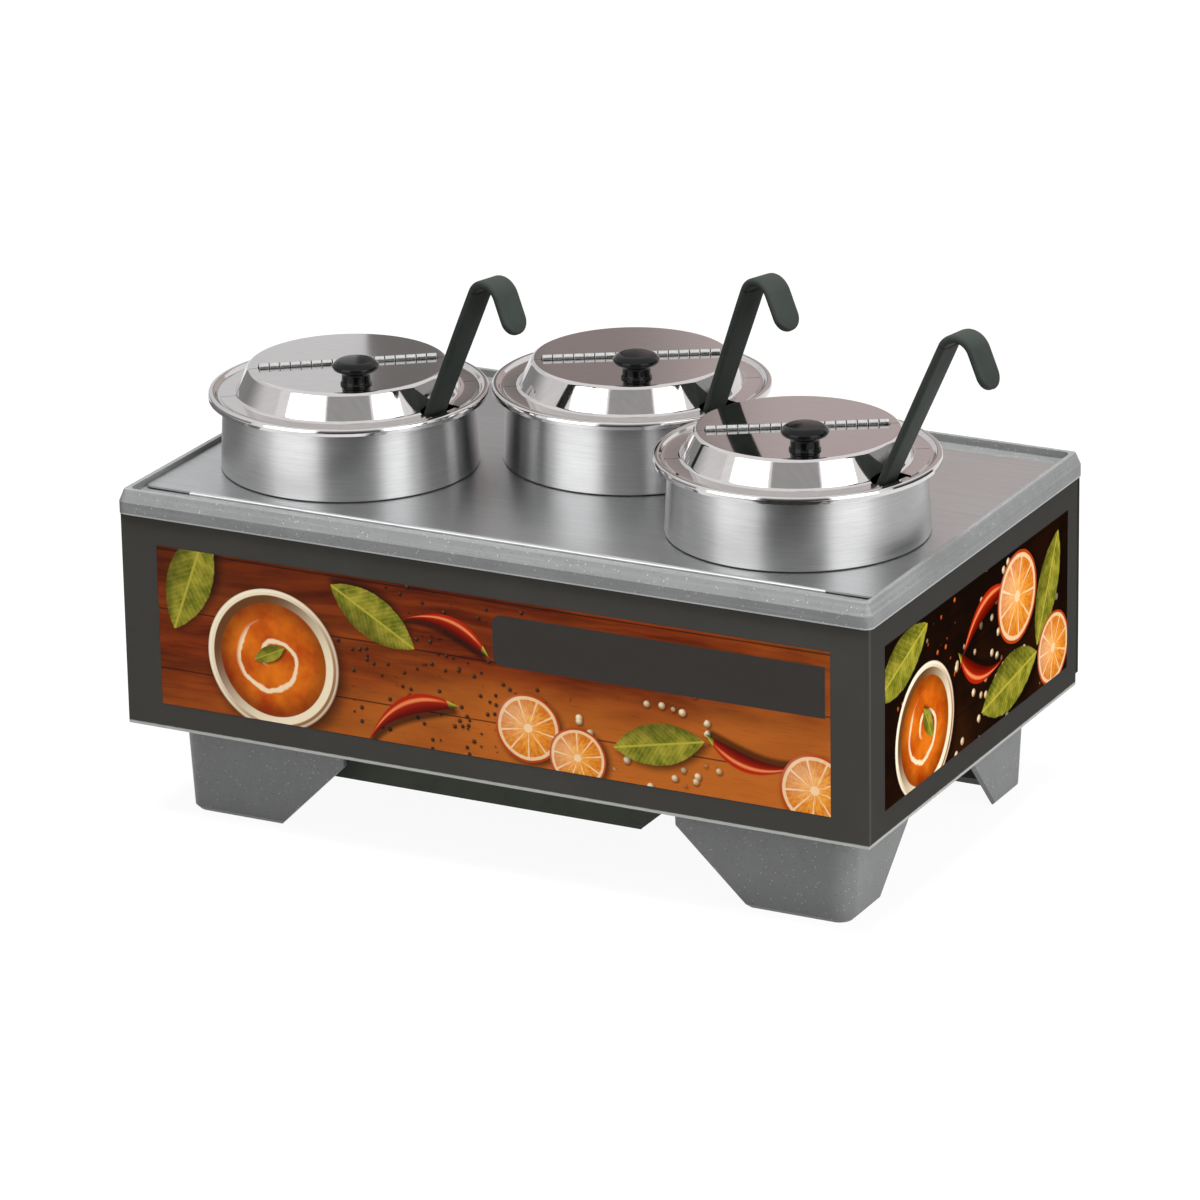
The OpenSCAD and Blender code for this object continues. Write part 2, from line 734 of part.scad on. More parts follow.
// Thermostat behind the box's rear face, with its shaft through the face
module thermostat()
    color("whitesmoke")
        at_control(dial_x) {
            translate([-thermostat_w / 2, -thermostat_w / 2, -box_t - thermostat_depth])
                cube([thermostat_w, thermostat_w, thermostat_depth]);
            translate([0, 0, -box_t]) cylinder(h = box_t + dial_depth * shaft_share, r = shaft_r);
        }

// How much of the knob's depth the shaft fills
shaft_share = 0.6;

// Knob with a skirt, a ring of finger flats and a raised pointer bar
module thermostat_knob() {
    skirt_h = dial_depth / 4;
    grip_r = dial_r * grip_r_share;
    flute_r = grip_r / 4;
    flutes = 10;
    color([0.08, 0.08, 0.08])
        at_control(dial_x)
            translate([0, 0, ladle_gap])
                difference() {
                    union() {
                        cylinder(h = skirt_h, r = dial_r);
                        cylinder(h = dial_depth, r = grip_r);
                        translate([-box_t / 2, -grip_r, dial_depth]) cube([box_t, grip_r, box_t]);
                    }
                    for (k = [0 : flutes - 1])
                        rotate([0, 0, (k + 1 / 2) * 360 / flutes])
                            translate([grip_r + flute_r / 2, 0, skirt_h])
                                cylinder(h = dial_depth, r = flute_r);
                    translate([0, 0, -cut])
                        cylinder(h = dial_depth * shaft_share + cut, r = shaft_r + shaft_play);
                }
}

// Radius of the knob's grip against its skirt
grip_r_share = 0.78;

// Pilot light: a bezel outside the face, a domed lens and a body behind
module pilot_light() {
    bezel_h = pilot_r / 3;
    body_len = 3 * pilot_r;
    color("firebrick")
        at_control(pilot_x) {
            translate([0, 0, -box_t - body_len]) cylinder(h = body_len + box_t, r = pilot_r);
            cylinder(h = bezel_h, r = pilot_r + bezel_h);
            translate([0, 0, bezel_h])
                intersection() {
                    sphere(r = pilot_r);
                    cylinder(h = pilot_r, r = pilot_r);
                }
        }
}

// Cord gland: a collar, a tapered nose and a bore right through
module cord_gland() {
    collar_len = gland_r / 2;
    nose_len = 2 * gland_r;
    color([0.1, 0.1, 0.1])
        at_control(gland_x)
            difference() {
                union() {
                    translate([0, 0, -box_t - collar_len])
                        cylinder(h = box_t + collar_len, r = gland_r);
                    cylinder(h = collar_len, r = gland_r + collar_len / 2);
                    translate([0, 0, collar_len])
                        cylinder(h = nose_len, r1 = gland_r, r2 = (gland_r + gland_bore_r) / 2);
                }
                translate([0, 0, -box_t - collar_len - cut])
                    cylinder(h = box_t + 2 * collar_len + nose_len + 2 * cut, r = gland_bore_r);
            }
}

// Steel plate over the well, with a hole for each inset and two turned-down edges
module adaptor_plate() {
    lip_len = 2 * (plate_hx - plate_lip_end);
    color("silver")
        translate([0, 0, plate_low_z])
            difference() {
                union() {
                    draft_block(plate_hx, plate_hy, plate_corner_r, plate_t);
                    for (sy = [-1, 1])
                        translate([-lip_len / 2, sy * (plate_hy - plate_t / 2) - plate_t / 2,
                            plate_t - plate_lip_drop])
                            cube([lip_len, plate_t, plate_lip_drop]);
                }
                for (p = pots)
                    translate([p[0], p[1], -cut]) cylinder(h = plate_t + 2 * cut, r = collar_in_r);
                for (sy = [-1, 1])
                    translate([-lip_len / 2, sy * (plate_hy - plate_lip_r), plate_t - plate_lip_r])
                        bend_cut(lip_len, sy);
            }
}

// What a bend along X leaves off the upper edge of a sheet, sy being the side that it is on
module bend_cut(length, sy)
    difference() {
        translate([0, sy < 0 ? -plate_lip_r - cut : 0, 0])
            cube([length, plate_lip_r + cut, plate_lip_r + cut]);
        translate([-cut, 0, 0])
            rotate([0, 90, 0]) cylinder(h = length + 2 * cut, r = plate_lip_r);
    }

// Collar: a flared steel ring on the plate, its foot rounded and turned in
module collar(i) {
    foot = collar_foot_h;
    path = concat(
        [[collar_top_r, collar_h], [collar_low_r, foot]],
        arc([collar_low_r - collar_foot_in, collar_foot_in], collar_foot_in, 0, -90));
    color("lightsteelblue")
        at_pot(i) rotate_extrude() polygon(sheet([for (k = [len(path) - 1 : -1 : 0]) path[k]], collar_t));
}

// Inset: one sheet from the rolled bead over the seat and down to the rounded bottom
module inset(i) {
    bead_top_h = seat_h + bead_rise;
    bead_mid_r = inset_rim_r - bead_w / 2;
    floor_h = inset_floor_z - plate_z;
    low_r = mouth_r - inset_taper;
    path = concat(
        [[inset_rim_r - inset_t / 2, seat_h - bead_drop]],
        arc([bead_mid_r, bead_top_h - bead_w / 2], bead_w / 2, 0, 90),
        [[bead_mid_r - bead_w / 4, bead_top_h - bead_rise / 8], [seat_out_r, seat_h]],
        arc([mouth_r + inset_t, seat_h - inset_t], inset_t, 90, 180),
        arc([low_r - inset_bottom_r, floor_h + inset_bottom_r], inset_bottom_r, 0, -90),
        [[0, floor_h]]);
    color("gainsboro") at_pot(i) rotate_extrude() polygon(sheet(path, inset_t));
}

// Whole lid as one dished sheet, before it is split along its hinge
module lid_shell() {
    lean = atan2(lid_crown_h, lid_foot_r - lid_flat_r);
    tangent = lid_round_r * tan(lean / 2);
    path = concat(
        [[lid_r, flange_top_h]],
        arc([lid_foot_r + tangent, flange_top_h + lid_round_r], lid_round_r, -90, -90 - lean),
        arc([lid_flat_r - tangent, crown_h - lid_round_r], lid_round_r, 90 - lean, 90),
        [[0, crown_h]]);
    rotate_extrude() polygon(sheet(path, lid_t));
}

// Half of a lid: sy is -1 for the front flap and 1 for the back
module lid_half(sy)
    difference() {
        lid_shell();
        translate([-lid_r - cut, sy > 0 ? -lid_r - cut : -lid_split / 2, seat_h - cut])
            cube([2 * (lid_r + cut), lid_r + cut + lid_split / 2, crown_h]);
        translate([-hinge_len / 2 - barrel_gap, -barrel_half, pin_h - 2 * knuckle_r])
            cube([hinge_len + 2 * barrel_gap, 2 * barrel_half, 2 * knuckle_r]);
    }

module lid_back(i) color("silver") at_lid(i) lid_half(1);

module lid_flap(i)
    color("silver")
        at_lid(i)
            difference() {
                lid_half(-1);
                rotate([0, 0, -notch_turn])
                    translate([notch_in_r + lid_r, 0, seat_h - cut])
                        draft_block(lid_r, notch_w / 2, notch_corner_r, crown_h);
                translate([0, -knob_reach, seat_h])
                    cylinder(h = crown_h, r = knob_screw_r + bolt_play);
            }

// Half of a hinge: a leaf under the flat top and every other knuckle on the pin's line
module hinge_leaf(sy) {
    first = sy > 0 ? 0 : 1;
    leaf_low = -hinge_rise - lid_t - leaf_t;
    difference() {
        union() {
            translate([-hinge_len / 2, sy > 0 ? barrel_half : -leaf_w, leaf_low])
                cube([hinge_len, leaf_w - barrel_half, leaf_t]);
            for (k = [first : 2 : hinge_knuckles - 1])
                translate([(k - hinge_knuckles / 2) * knuckle_pitch + knuckle_gap / 2, 0, 0]) {
                    rotate([0, 90, 0])
                        cylinder(h = knuckle_pitch - knuckle_gap, r = knuckle_r);
                    translate([0, sy > 0 ? 0 : -barrel_half - leaf_t, leaf_low])
                        cube([knuckle_pitch - knuckle_gap, barrel_half + leaf_t, leaf_t]);
                }
        }
        translate([-hinge_len / 2 - cut, 0, 0])
            rotate([0, 90, 0]) cylinder(h = hinge_len + 2 * cut, r = pin_r + pin_play);
        if (sy < 0)
            translate([0, -knob_reach, leaf_low - cut])
                cylinder(h = leaf_t + 2 * cut, r = knob_screw_head_r + knob_screw_r);
    }
}

module at_hinge(i) at_lid(i) translate([0, 0, pin_h]) children();
module hinge_back_leaf(i) color("whitesmoke") at_hinge(i) hinge_leaf(1);
module hinge_front_leaf(i) color("whitesmoke") at_hinge(i) hinge_leaf(-1);

module hinge_pin(i)
    color("white")
        at_hinge(i)
            translate([-hinge_len / 2, 0, 0]) rotate([0, 90, 0]) cylinder(h = hinge_len, r = pin_r);

// Mushroom knob turned from one profile
module lid_knob(i) {
    cap_low = knob_h - knob_cap_h;
    edge_r = knob_cap_h / 4;
    foot_r = knob_stem_r + edge_r / 4;
    waist_r = knob_stem_r - edge_r / 4;
    color([0.03, 0.03, 0.03])
        at_lid(i)
            translate([0, -knob_reach, crown_h])
                difference() {
                    rotate_extrude()
                        polygon(concat(
                            [[0, 0], [foot_r, 0], [foot_r, edge_r / 2],
                                [waist_r, edge_r], [waist_r, cap_low - edge_r / 2]],
                            arc([knob_cap_r - edge_r, cap_low + edge_r], edge_r, -60, 60),
                            [[knob_cap_r * dome_shares[0], knob_h - edge_r * dome_shares[1]],
                                [knob_cap_r * dome_shares[2], knob_h], [0, knob_h]]));
                    translate([0, 0, -cut])
                        cylinder(h = knob_screw_len + 2 * cut, r = knob_screw_r + bolt_play);
                }
}

// Points on the dome of a knob's cap: radius and drop of the outer one, radius of the inner one
dome_shares = [0.72, 0.35, 0.4];

module knob_screw(i)
    color("silver")
        at_lid(i)
            translate([0, -knob_reach, crown_h - lid_t]) {
                cylinder(h = lid_t + knob_screw_len, r = knob_screw_r);
                translate([0, 0, -knob_screw_head_h])
                    cylinder(h = knob_screw_head_h, r = knob_screw_head_r);
            }

// Ladle frame: origin in the inset's mouth, +Z up along the handle, +X out of the pot
module at_ladle(i)
    at_notch(i)
        rotate([0, 0, ladle_shifts[i]])
            translate([entry_r(i), 0, seat_h])
                rotate([0, ladle_leans[i], ladle_yaws[i]]) children();

// Radius at which a ladle stands in the mouth, its outer face just inside the edge
function entry_r(i) =
    sqrt(mouth_r * mouth_r - grip_w * grip_w / 4) - ladle_gap
    - grip_t / 2 / cos(ladle_leans[i]) - grip_w / 2 * abs(sin(ladle_yaws[i]));

// Depth of the lowest point of a bowl that leans by a, below the middle of its rim
function bowl_low(a) = max([for (p = bowl_path()) p[0] * sin(a) - p[1] * cos(a)]);

// Length of a ladle between the inset's mouth and the bowl's rim
function ladle_sink(i) =
    let (a = ladle_leans[i])
    (seat_z - inset_floor_z - ladle_rests[i] + bowl_r * sin(a) - bowl_low(a)) / cos(a);

// Bowl and shank, welded together at the bowl's rim
module ladle(i) {
    sink = ladle_sink(i);
    shank_top = shank_socket - grip_sink;
    color("gainsboro")
        at_ladle(i) {
            translate([-bowl_r, 0, -sink])
                rotate_extrude() polygon(sheet(bowl_path(), bowl_t));
            translate([-shank_t / 2, -shank_w / 2, -sink - bowl_weld])
                cube([shank_t, shank_w, sink + bowl_weld + shank_top]);
        }
}

// Outside of the bowl, from its middle up to its rim
function bowl_path() =
    concat([[0, -bowl_depth]],
        [for (k = [0 : 2 * round_steps])
            let (a = -90 + 90 * k / (2 * round_steps))
            [bowl_flat_r + (bowl_r - bowl_flat_r) * cos(a), bowl_depth * sin(a)]]);

// Section of the coated handle, less a step all round: thickness along X, width along Y
module grip_section(step = 0) {
    in_r = grip_edge_r - step;
    square([grip_t - 2 * step, grip_w - 2 * grip_edge_r], center = true);
    square([grip_t - 2 * grip_edge_r, grip_w - 2 * step], center = true);
    for (sx = [-1, 1], sy = [-1, 1])
        translate([sx * (grip_t / 2 - grip_edge_r), sy * (grip_w / 2 - grip_edge_r)])
            circle(r = in_r);
}

// Coated handle: straight stretch, bent hook and a tail with a round end
module ladle_grip(i) {
    rise = ladle_len - ladle_sink(i);
    straight = rise + grip_sink;
    color([0.14, 0.17, 0.15])
        at_ladle(i)
            translate([0, 0, rise]) {
                difference() {
                    translate([0, 0, -straight]) linear_extrude(straight) grip_section();
                    translate([-shank_t / 2, -shank_w / 2, -straight - cut])
                        cube([shank_t, shank_w, shank_socket + cut]);
                }
                translate([hook_r, 0, 0]) {
                    mirror([1, 0, 0])
                        rotate([90, 0, 0])
                            rotate_extrude(angle = hook_turn) translate([hook_r, 0]) grip_section();
                    rotate([0, hook_turn - 180, 0]) translate([hook_r, 0, 0]) hook_tail();
                }
            }
}

// Tail of the hook, a hair thinner than the bend that it starts in
module hook_tail()
    intersection() {
        translate([0, 0, -hook_tail]) linear_extrude(hook_tail + cut) grip_section(tail_step);
        tail_outline();
    }

// Broad outline of the tail, as a prism through the handle's thickness
module tail_outline()
    rotate([0, 90, 0])
        linear_extrude(2 * grip_t, center = true) {
            translate([hook_tail - grip_w / 2, 0]) circle(r = grip_w / 2);
            translate([-2 * cut, -grip_w / 2]) square([hook_tail + 2 * cut - grip_w / 2, grip_w]);
        }

housing();
leg(-1, -1);  // leg_front_left
leg(1, -1);  // leg_front_right
leg(-1, 1);  // leg_rear_left
leg(1, 1);  // leg_rear_right
leg_bolts();
panel_front();
panel_side(-1);  // panel_left
panel_side(1);  // panel_right
print_front();
print_side(-1);  // print_left
print_side(1);  // print_right
panel_brackets();
panel_screws();
water_well();
bottom_plate();
control_box();
heating_element();
thermostat();
thermostat_knob();
pilot_light();
cord_gland();
adaptor_plate();
collar(0);  // collar_left
collar(1);  // collar_middle
collar(2);  // collar_right
inset(0);  // inset_left
inset(1);  // inset_middle
inset(2);  // inset_right
lid_back(0);  // lid_back_left
lid_back(1);  // lid_back_middle
lid_back(2);  // lid_back_right
lid_flap(0);  // lid_flap_left
lid_flap(1);  // lid_flap_middle
lid_flap(2);  // lid_flap_right
hinge_back_leaf(0);  // hinge_back_leaf_left
hinge_back_leaf(1);  // hinge_back_leaf_middle
hinge_back_leaf(2);  // hinge_back_leaf_right
hinge_front_leaf(0);  // hinge_front_leaf_left
hinge_front_leaf(1);  // hinge_front_leaf_middle
hinge_front_leaf(2);  // hinge_front_leaf_right
hinge_pin(0);  // hinge_pin_left
hinge_pin(1);  // hinge_pin_middle
hinge_pin(2);  // hinge_pin_right
lid_knob(0);  // lid_knob_left
lid_knob(1);  // lid_knob_middle
lid_knob(2);  // lid_knob_right
knob_screw(0);  // knob_screw_left
knob_screw(1);  // knob_screw_middle
knob_screw(2);  // knob_screw_right
ladle(0);  // ladle_left
ladle(1);  // ladle_middle
ladle(2);  // ladle_right
ladle_grip(0);  // ladle_grip_left
ladle_grip(1);  // ladle_grip_middle
ladle_grip(2);  // ladle_grip_right
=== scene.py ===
import json
import math

import bmesh
import bpy
from mathutils import Matrix, Vector

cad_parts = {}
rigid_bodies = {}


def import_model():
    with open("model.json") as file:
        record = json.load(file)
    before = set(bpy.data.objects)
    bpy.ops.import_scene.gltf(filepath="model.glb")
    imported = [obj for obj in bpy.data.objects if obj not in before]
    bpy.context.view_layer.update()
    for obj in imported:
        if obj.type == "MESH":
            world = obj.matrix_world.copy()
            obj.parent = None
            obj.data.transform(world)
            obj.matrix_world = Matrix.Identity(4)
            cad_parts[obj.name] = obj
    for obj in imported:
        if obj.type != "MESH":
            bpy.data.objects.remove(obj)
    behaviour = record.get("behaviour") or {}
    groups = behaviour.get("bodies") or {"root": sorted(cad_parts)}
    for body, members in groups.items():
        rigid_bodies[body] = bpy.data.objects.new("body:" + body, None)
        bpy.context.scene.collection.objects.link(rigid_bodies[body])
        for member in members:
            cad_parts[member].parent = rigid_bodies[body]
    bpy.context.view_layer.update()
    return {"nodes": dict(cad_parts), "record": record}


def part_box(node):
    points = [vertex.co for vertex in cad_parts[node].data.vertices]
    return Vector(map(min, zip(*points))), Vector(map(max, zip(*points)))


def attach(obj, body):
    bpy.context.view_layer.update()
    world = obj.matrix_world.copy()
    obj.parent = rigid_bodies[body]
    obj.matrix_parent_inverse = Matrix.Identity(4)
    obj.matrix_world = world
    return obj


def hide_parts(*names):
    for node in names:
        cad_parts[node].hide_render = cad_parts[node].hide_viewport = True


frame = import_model()
joints = {j["name"]: j for j in frame["record"]["behaviour"]["joints"]}
slotOf = {p["node"]: p["material_slot"] for p in frame["record"]["subparts"]}
sides = ("left", "middle", "right")
scene = bpy.context.scene
scene.view_settings.view_transform = "Standard"
print("frame loaded:", len(frame["nodes"]), "nodes")


# camera, solved from the corners of the base in the photograph
cameraSet = {
    "azimuth": 27.485,      # degrees round from the serving side
    "elevation": 19.694,
    "roll": -0.983,
    "target": (0, 0, 0.108),
    "distance": 4.39903,
    "slideX": -0.003357,
    "slideY": 0.031386,
    "focalPixels": 6532.03,  # on a frame 1200 pixels wide
    "frameWidth": 1200,
    "sensor": 36,
    "clipEnd": 50,
}


def makeCamera(c):
    az, el, roll = (math.radians(c[k]) for k in ("azimuth", "elevation", "roll"))
    back = Vector((math.sin(az) * math.cos(el), -math.cos(az) * math.cos(el), math.sin(el)))
    right = Vector((math.cos(az), math.sin(az), 0))
    up = back.cross(right)
    right, up = (right * math.cos(roll) + up * math.sin(roll),
                 up * math.cos(roll) - right * math.sin(roll))
    data = bpy.data.cameras.new("studioCamera")
    data.sensor_width = c["sensor"]
    data.lens = c["focalPixels"] / c["frameWidth"] * c["sensor"]
    data.clip_end = c["clipEnd"]
    cam = bpy.data.objects.new("studioCamera", data)
    place = Vector(c["target"]) + right * c["slideX"] + up * c["slideY"] + back * c["distance"]
    turn = Matrix((right, up, back)).transposed().to_4x4()
    cam.matrix_world = Matrix.Translation(place) @ turn
    scene.collection.objects.link(cam)
    scene.camera = cam


makeCamera(cameraSet)
print("camera placed")


# shader sockets that can be used in plain sums
class Wire:
    def __init__(self, tree, socket=None):
        self.tree, self.socket = tree, socket

    def node(self, kind, settings=None, values=None, out=0):
        made = self.tree.nodes.new(kind)
        for key, value in (settings or {}).items():
            setattr(made, key, value)
        for key, value in (values or {}).items():
            if isinstance(value, Wire):
                self.tree.links.new(value.socket, made.inputs[key])
            else:
                made.inputs[key].default_value = value
        return Wire(self.tree, made.outputs[out])

    def math(self, how, *terms):
        return self.node("ShaderNodeMath", {"operation": how}, dict(enumerate(terms)))

    def __add__(self, other):
        return self.math("ADD", self, other)

    def __radd__(self, other):
        return self.math("ADD", other, self)

    def __sub__(self, other):
        return self.math("SUBTRACT", self, other)

    def __rsub__(self, other):
        return self.math("SUBTRACT", other, self)

    def __mul__(self, other):
        return self.math("MULTIPLY", self, other)

    def __rmul__(self, other):
        return self.math("MULTIPLY", other, self)

    def __truediv__(self, other):
        return self.math("DIVIDE", self, other)

    def __rtruediv__(self, other):
        return self.math("DIVIDE", other, self)

    def __abs__(self):
        return self.math("ABSOLUTE", self)

    def step(self, low, high):  # 0 below low, 1 above high, smooth between
        return self.node("ShaderNodeMapRange", {"interpolation_type": "SMOOTHSTEP"},
                         {"Value": self, "From Min": low, "From Max": high})

    def mix(self, factor, a, b):  # colours
        return self.node("ShaderNodeMix", {"data_type": "RGBA"}, {0: factor, 6: a, 7: b}, 2)

    def vector(self, how, *terms):
        return self.node("ShaderNodeVectorMath", {"operation": how}, dict(enumerate(terms)))

    def scaled(self, x, y, z):
        return self.vector("MULTIPLY", self, (x, y, z))

    def noise(self, vector, scale, detail=3, rough=0.55):
        return self.node("ShaderNodeTexNoise", None, {"Vector": vector, "Scale": scale, "Detail": detail,
                                                      "Roughness": rough})

    def cells(self, vector, scale, out=0):  # out 0 is the distance from a cell's middle, 1 its colour
        return self.node("ShaderNodeTexVoronoi", None, {"Vector": vector, "Scale": scale}, out)

    def pick(self, vector, scale):  # one number for each cell
        return self.node("ShaderNodeSeparateColor", None, {0: self.cells(vector, scale, 1)})


def srgb(r, g, b):  # colour as read on a screen, 0 to 255
    return tuple((v / 255 / 12.92) if v <= 10 else ((v / 255 + 0.055) / 1.055) ** 2.4 for v in (r, g, b))


def rgba(r, g, b):
    return (*srgb(r, g, b), 1)


def dimmed(tint, share):  # the same colour with a share of its light
    return (*(share * v for v in srgb(*tint)), 1)


def newMaterial(name, **fixed):  # a principled shader with its constant sockets set
    mat = bpy.data.materials.new(name)
    mat.use_nodes = True
    tree = mat.node_tree
    shader = next(n for n in tree.nodes if n.type == "BSDF_PRINCIPLED")
    for key, value in fixed.items():
        shader.inputs[key.replace("_", " ")].default_value = value
    wire = Wire(tree)

    def feed(**links):
        for key, value in links.items():
            tree.links.new(value.socket, shader.inputs[key.replace("_", " ")])
    place = wire.node("ShaderNodeTexCoord", out=3)
    parts = [wire.node("ShaderNodeSeparateXYZ", None, {0: place}, k) for k in range(3)]
    return mat, wire, feed, place, parts


def bump(wire, height, strength, distance, edge=0.0):  # edge softens a piece's corners by that radius
    values = {"Height": height, "Strength": strength, "Distance": distance}
    if edge:
        values["Normal"] = wire.node("ShaderNodeBevel", {"samples": 6}, {"Radius": edge})
    return wire.node("ShaderNodeBump", None, values)


# moulded resin of the base: grey with fine pale and dark specks, and drawn out lines round the rim
resinLook = {"base": (103, 104, 104), "light": (121, 122, 122), "pale": (188, 190, 191),
             "dark": (62, 64, 64), "cloudScale": 22, "mottleScale": 260, "grainScale": 900,
             "speckScale": 760, "paleShare": 0.05, "paleMix": 0.55, "darkShare": 0.1, "darkMix": 0.5,
             "streakRun": (5, 5, 420), "streakMix": 0.12, "rimFrom": 0.2, "rimBlend": 0.004,
             "paleLineBand": (-0.0002, 0.0, 0.0007, 0.0013), "paleLineMix": 0.55, "rough": 0.36, "edge": 0.0005}


def resinMaterial(look, rimLow):
    mat, w, feed, place, (x, y, z) = newMaterial("speckledResin", Specular_IOR_Level=0.5)
    lightInk, paleInk, darkInk = (rgba(*look[k]) for k in ("light", "pale", "dark"))
    cloud = w.noise(place, look["cloudScale"], 4)
    mottle = w.noise(place, look["mottleScale"], 3)
    rim = z.step(look["rimFrom"], look["rimFrom"] + look["rimBlend"])
    streak = w.noise(place.scaled(*look["streakRun"]), 1, 4) * rim
    base = w.mix(cloud.step(0.3, 0.7) * 0.5 + mottle * 0.5, rgba(*look["base"]), lightInk)
    base = w.mix(streak.step(0.45, 0.8) * look["streakMix"], base, paleInk)
    pick = w.pick(place, look["speckScale"])
    near = 1 - w.cells(place, look["speckScale"]).step(0.2, 0.5)
    pale = w.math("LESS_THAN", pick, look["paleShare"]) * near
    dark = w.math("GREATER_THAN", pick, 1 - look["darkShare"]) * near
    base = w.mix(pale * look["paleMix"], base, paleInk)
    base = w.mix(dark * look["darkMix"], base, darkInk)
    # a paler line along the rim's foot, just above the panels' top edge
    start, full, fade, end = (rimLow + k for k in look["paleLineBand"])
    paler = z.step(start, full) * (1 - z.step(fade, end))
    base = w.mix(paler * look["paleLineMix"], base, paleInk)
    grain = w.noise(place, look["grainScale"], 2)
    feed(Base_Color=base, Roughness=look["rough"] + grain * 0.14 - pale * 0.1,
         Normal=bump(w, grain * 0.6 + cloud * 0.5 + pale * 0.4, 0.25, 0.0005, look["edge"]))
    return mat


# charcoal board of the panels: matt film on a pale core that shows along the bottom edge
panelLook = {"film": (64, 62, 58), "paler": (71, 69, 65), "core": (176, 178, 174), "strip": (24, 24, 22),
             "stripBlend": 0.0004, "cloudScale": 14, "grainScale": 1500, "edge": 0.0022, "edgeSoft": 0.6,
             "edgeScale": 160, "edgeWander": 0.0005, "edgeMix": 0.92, "rough": 0.46}
# the side panels use the same film darkened, as painted shade that offsets the fill lamp on the sides
sidePanelShadedLook = dict(panelLook, film=(48, 46, 43), paler=(54, 52, 49))


def panelMaterial(name, look, low, stripFrom):
    mat, w, feed, place, (x, y, z) = newMaterial(name, Specular_IOR_Level=0.03)
    cloud = w.noise(place, look["cloudScale"], 4)
    grain = w.noise(place, look["grainScale"], 2)
    film = w.mix(cloud.step(0.4, 0.75) * 0.5 + grain * 0.15, rgba(*look["film"]), rgba(*look["paler"]))
    film = w.mix(y.step(stripFrom, stripFrom + look["stripBlend"]), film, rgba(*look["strip"]))
    up = z - w.noise(place, look["edgeScale"], 2) * look["edgeWander"]
    edge = 1 - up.step(low + look["edge"] * look["edgeSoft"], low + look["edge"])
    feed(Base_Color=w.mix(edge * look["edgeMix"], film, rgba(*look["core"])),
         Roughness=look["rough"] + cloud * 0.12, Normal=bump(w, grain, 0.1, 0.0003))
    return mat


# stainless steel: brushed along one line, or round a ring, or polished
def steelMaterial(name, tint, rough, run, depth=0.1):
    mat, w, feed, place, _ = newMaterial(name, Metallic=1.0)
    hair = w.noise(place.scaled(*run), 1, 4, 0.7)
    fine = w.noise(place.scaled(*(3.1 * k for k in run)), 1, 2)
    cloud = w.noise(place, 7, 3)
    tone = hair * 0.6 + fine * 0.4
    feed(Base_Color=w.mix(tone.step(0.2, 0.85), dimmed(tint, 0.72), rgba(*tint)),
         Roughness=(rough - 0.04) + tone * depth + (cloud - 0.5) * 0.1,
         Normal=bump(w, tone, 2.5 * depth, 0.0002))
    return mat


# foot is the colour of the painted contact shadow at a collar's foot
ringLook = {"tint": (208, 208, 208), "rough": 0.36, "foot": (40, 40, 40), "footShadeMix": 0.85,
            "footShadeFrom": 0.0006, "footShadeTo": 0.0011, "round": 2.5, "upright": 1500}


def ringSteelMaterial(name, look, centre, low):  # with a painted contact shadow, a dark line at its foot
    mat, w, feed, place, (x, y, z) = newMaterial(name, Metallic=1.0, Anisotropic=0.85,
                                                 Anisotropic_Rotation=0.25)
    outward = w.vector("SUBTRACT", place, (centre[0], centre[1], 0)).scaled(1, 1, 0)
    turn = w.vector("NORMALIZE", outward)
    line = w.vector("ADD", turn.scaled(look["round"], look["round"], 0), place.scaled(0, 0, look["upright"]))
    hair = w.noise(line, 1, 4, 0.7)
    fine = w.noise(line.scaled(3, 3, 2.7), 1, 2)
    tone = hair * 0.65 + fine * 0.35
    bright = w.mix(tone.step(0.25, 0.8), dimmed(look["tint"], 0.74), rgba(*look["tint"]))
    # painted contact shadow along the foot, where the ring meets the plate
    foot = 1 - z.step(low + look["footShadeFrom"], low + look["footShadeTo"])
    feed(Base_Color=w.mix(foot * look["footShadeMix"], bright, rgba(*look["foot"])),
         Roughness=look["rough"] - 0.04 + tone * 0.08, Normal=bump(w, tone, 0.12, 0.0002))
    return mat


# the dark colour and its spread are painted shade in the gaps between knuckles
hingeLook = {"tint": (228, 228, 226), "gapShade": (26, 26, 26), "gapShadeMix": 0.93, "gapShadeFrom": 0.035,
             "gapShadeTo": 0.075, "long": 0.12, "knuckles": 17, "rough": 0.14}


def hingeMaterial(name, look, pin, turn):  # bright knuckles with painted shade in the groove between each two
    mat, w, feed, place, (x, y, z) = newMaterial(name, Metallic=1.0)
    pitch = look["long"] / look["knuckles"]
    along = (x - pin.x) * math.cos(turn) + (y - pin.y) * math.sin(turn)
    offGap = abs(w.math("WRAP", along + pitch / 2, pitch / 2, -pitch / 2))
    # painted shade in the gap between knuckles, which is also rougher and bumped in
    gapShade = 1 - offGap.step(pitch * look["gapShadeFrom"], pitch * look["gapShadeTo"])
    wear = w.noise(place, 420, 3)
    bright = w.mix(wear.step(0.3, 0.8), dimmed(look["tint"], 0.8), rgba(*look["tint"]))
    feed(Base_Color=w.mix(gapShade * look["gapShadeMix"], bright, rgba(*look["gapShade"])),
         Roughness=look["rough"] + wear * 0.1 + gapShade * 0.4,
         Normal=bump(w, wear * 0.2 - gapShade, 0.4, 0.0005))
    return mat


def polishedMaterial(name, tint, rough):
    mat, w, feed, place, _ = newMaterial(name, Metallic=1.0)
    cloud = w.noise(place, 11, 3)
    hair = w.noise(place.scaled(60, 420, 60), 1, 3)
    smear = (cloud - 0.5) * 0.05 + hair * 0.03
    feed(Base_Color=w.mix(hair.step(0.3, 0.8), dimmed(tint, 0.93), rgba(*tint)), Roughness=rough + smear,
         Normal=bump(w, cloud, 0.05, 0.0006))
    return mat


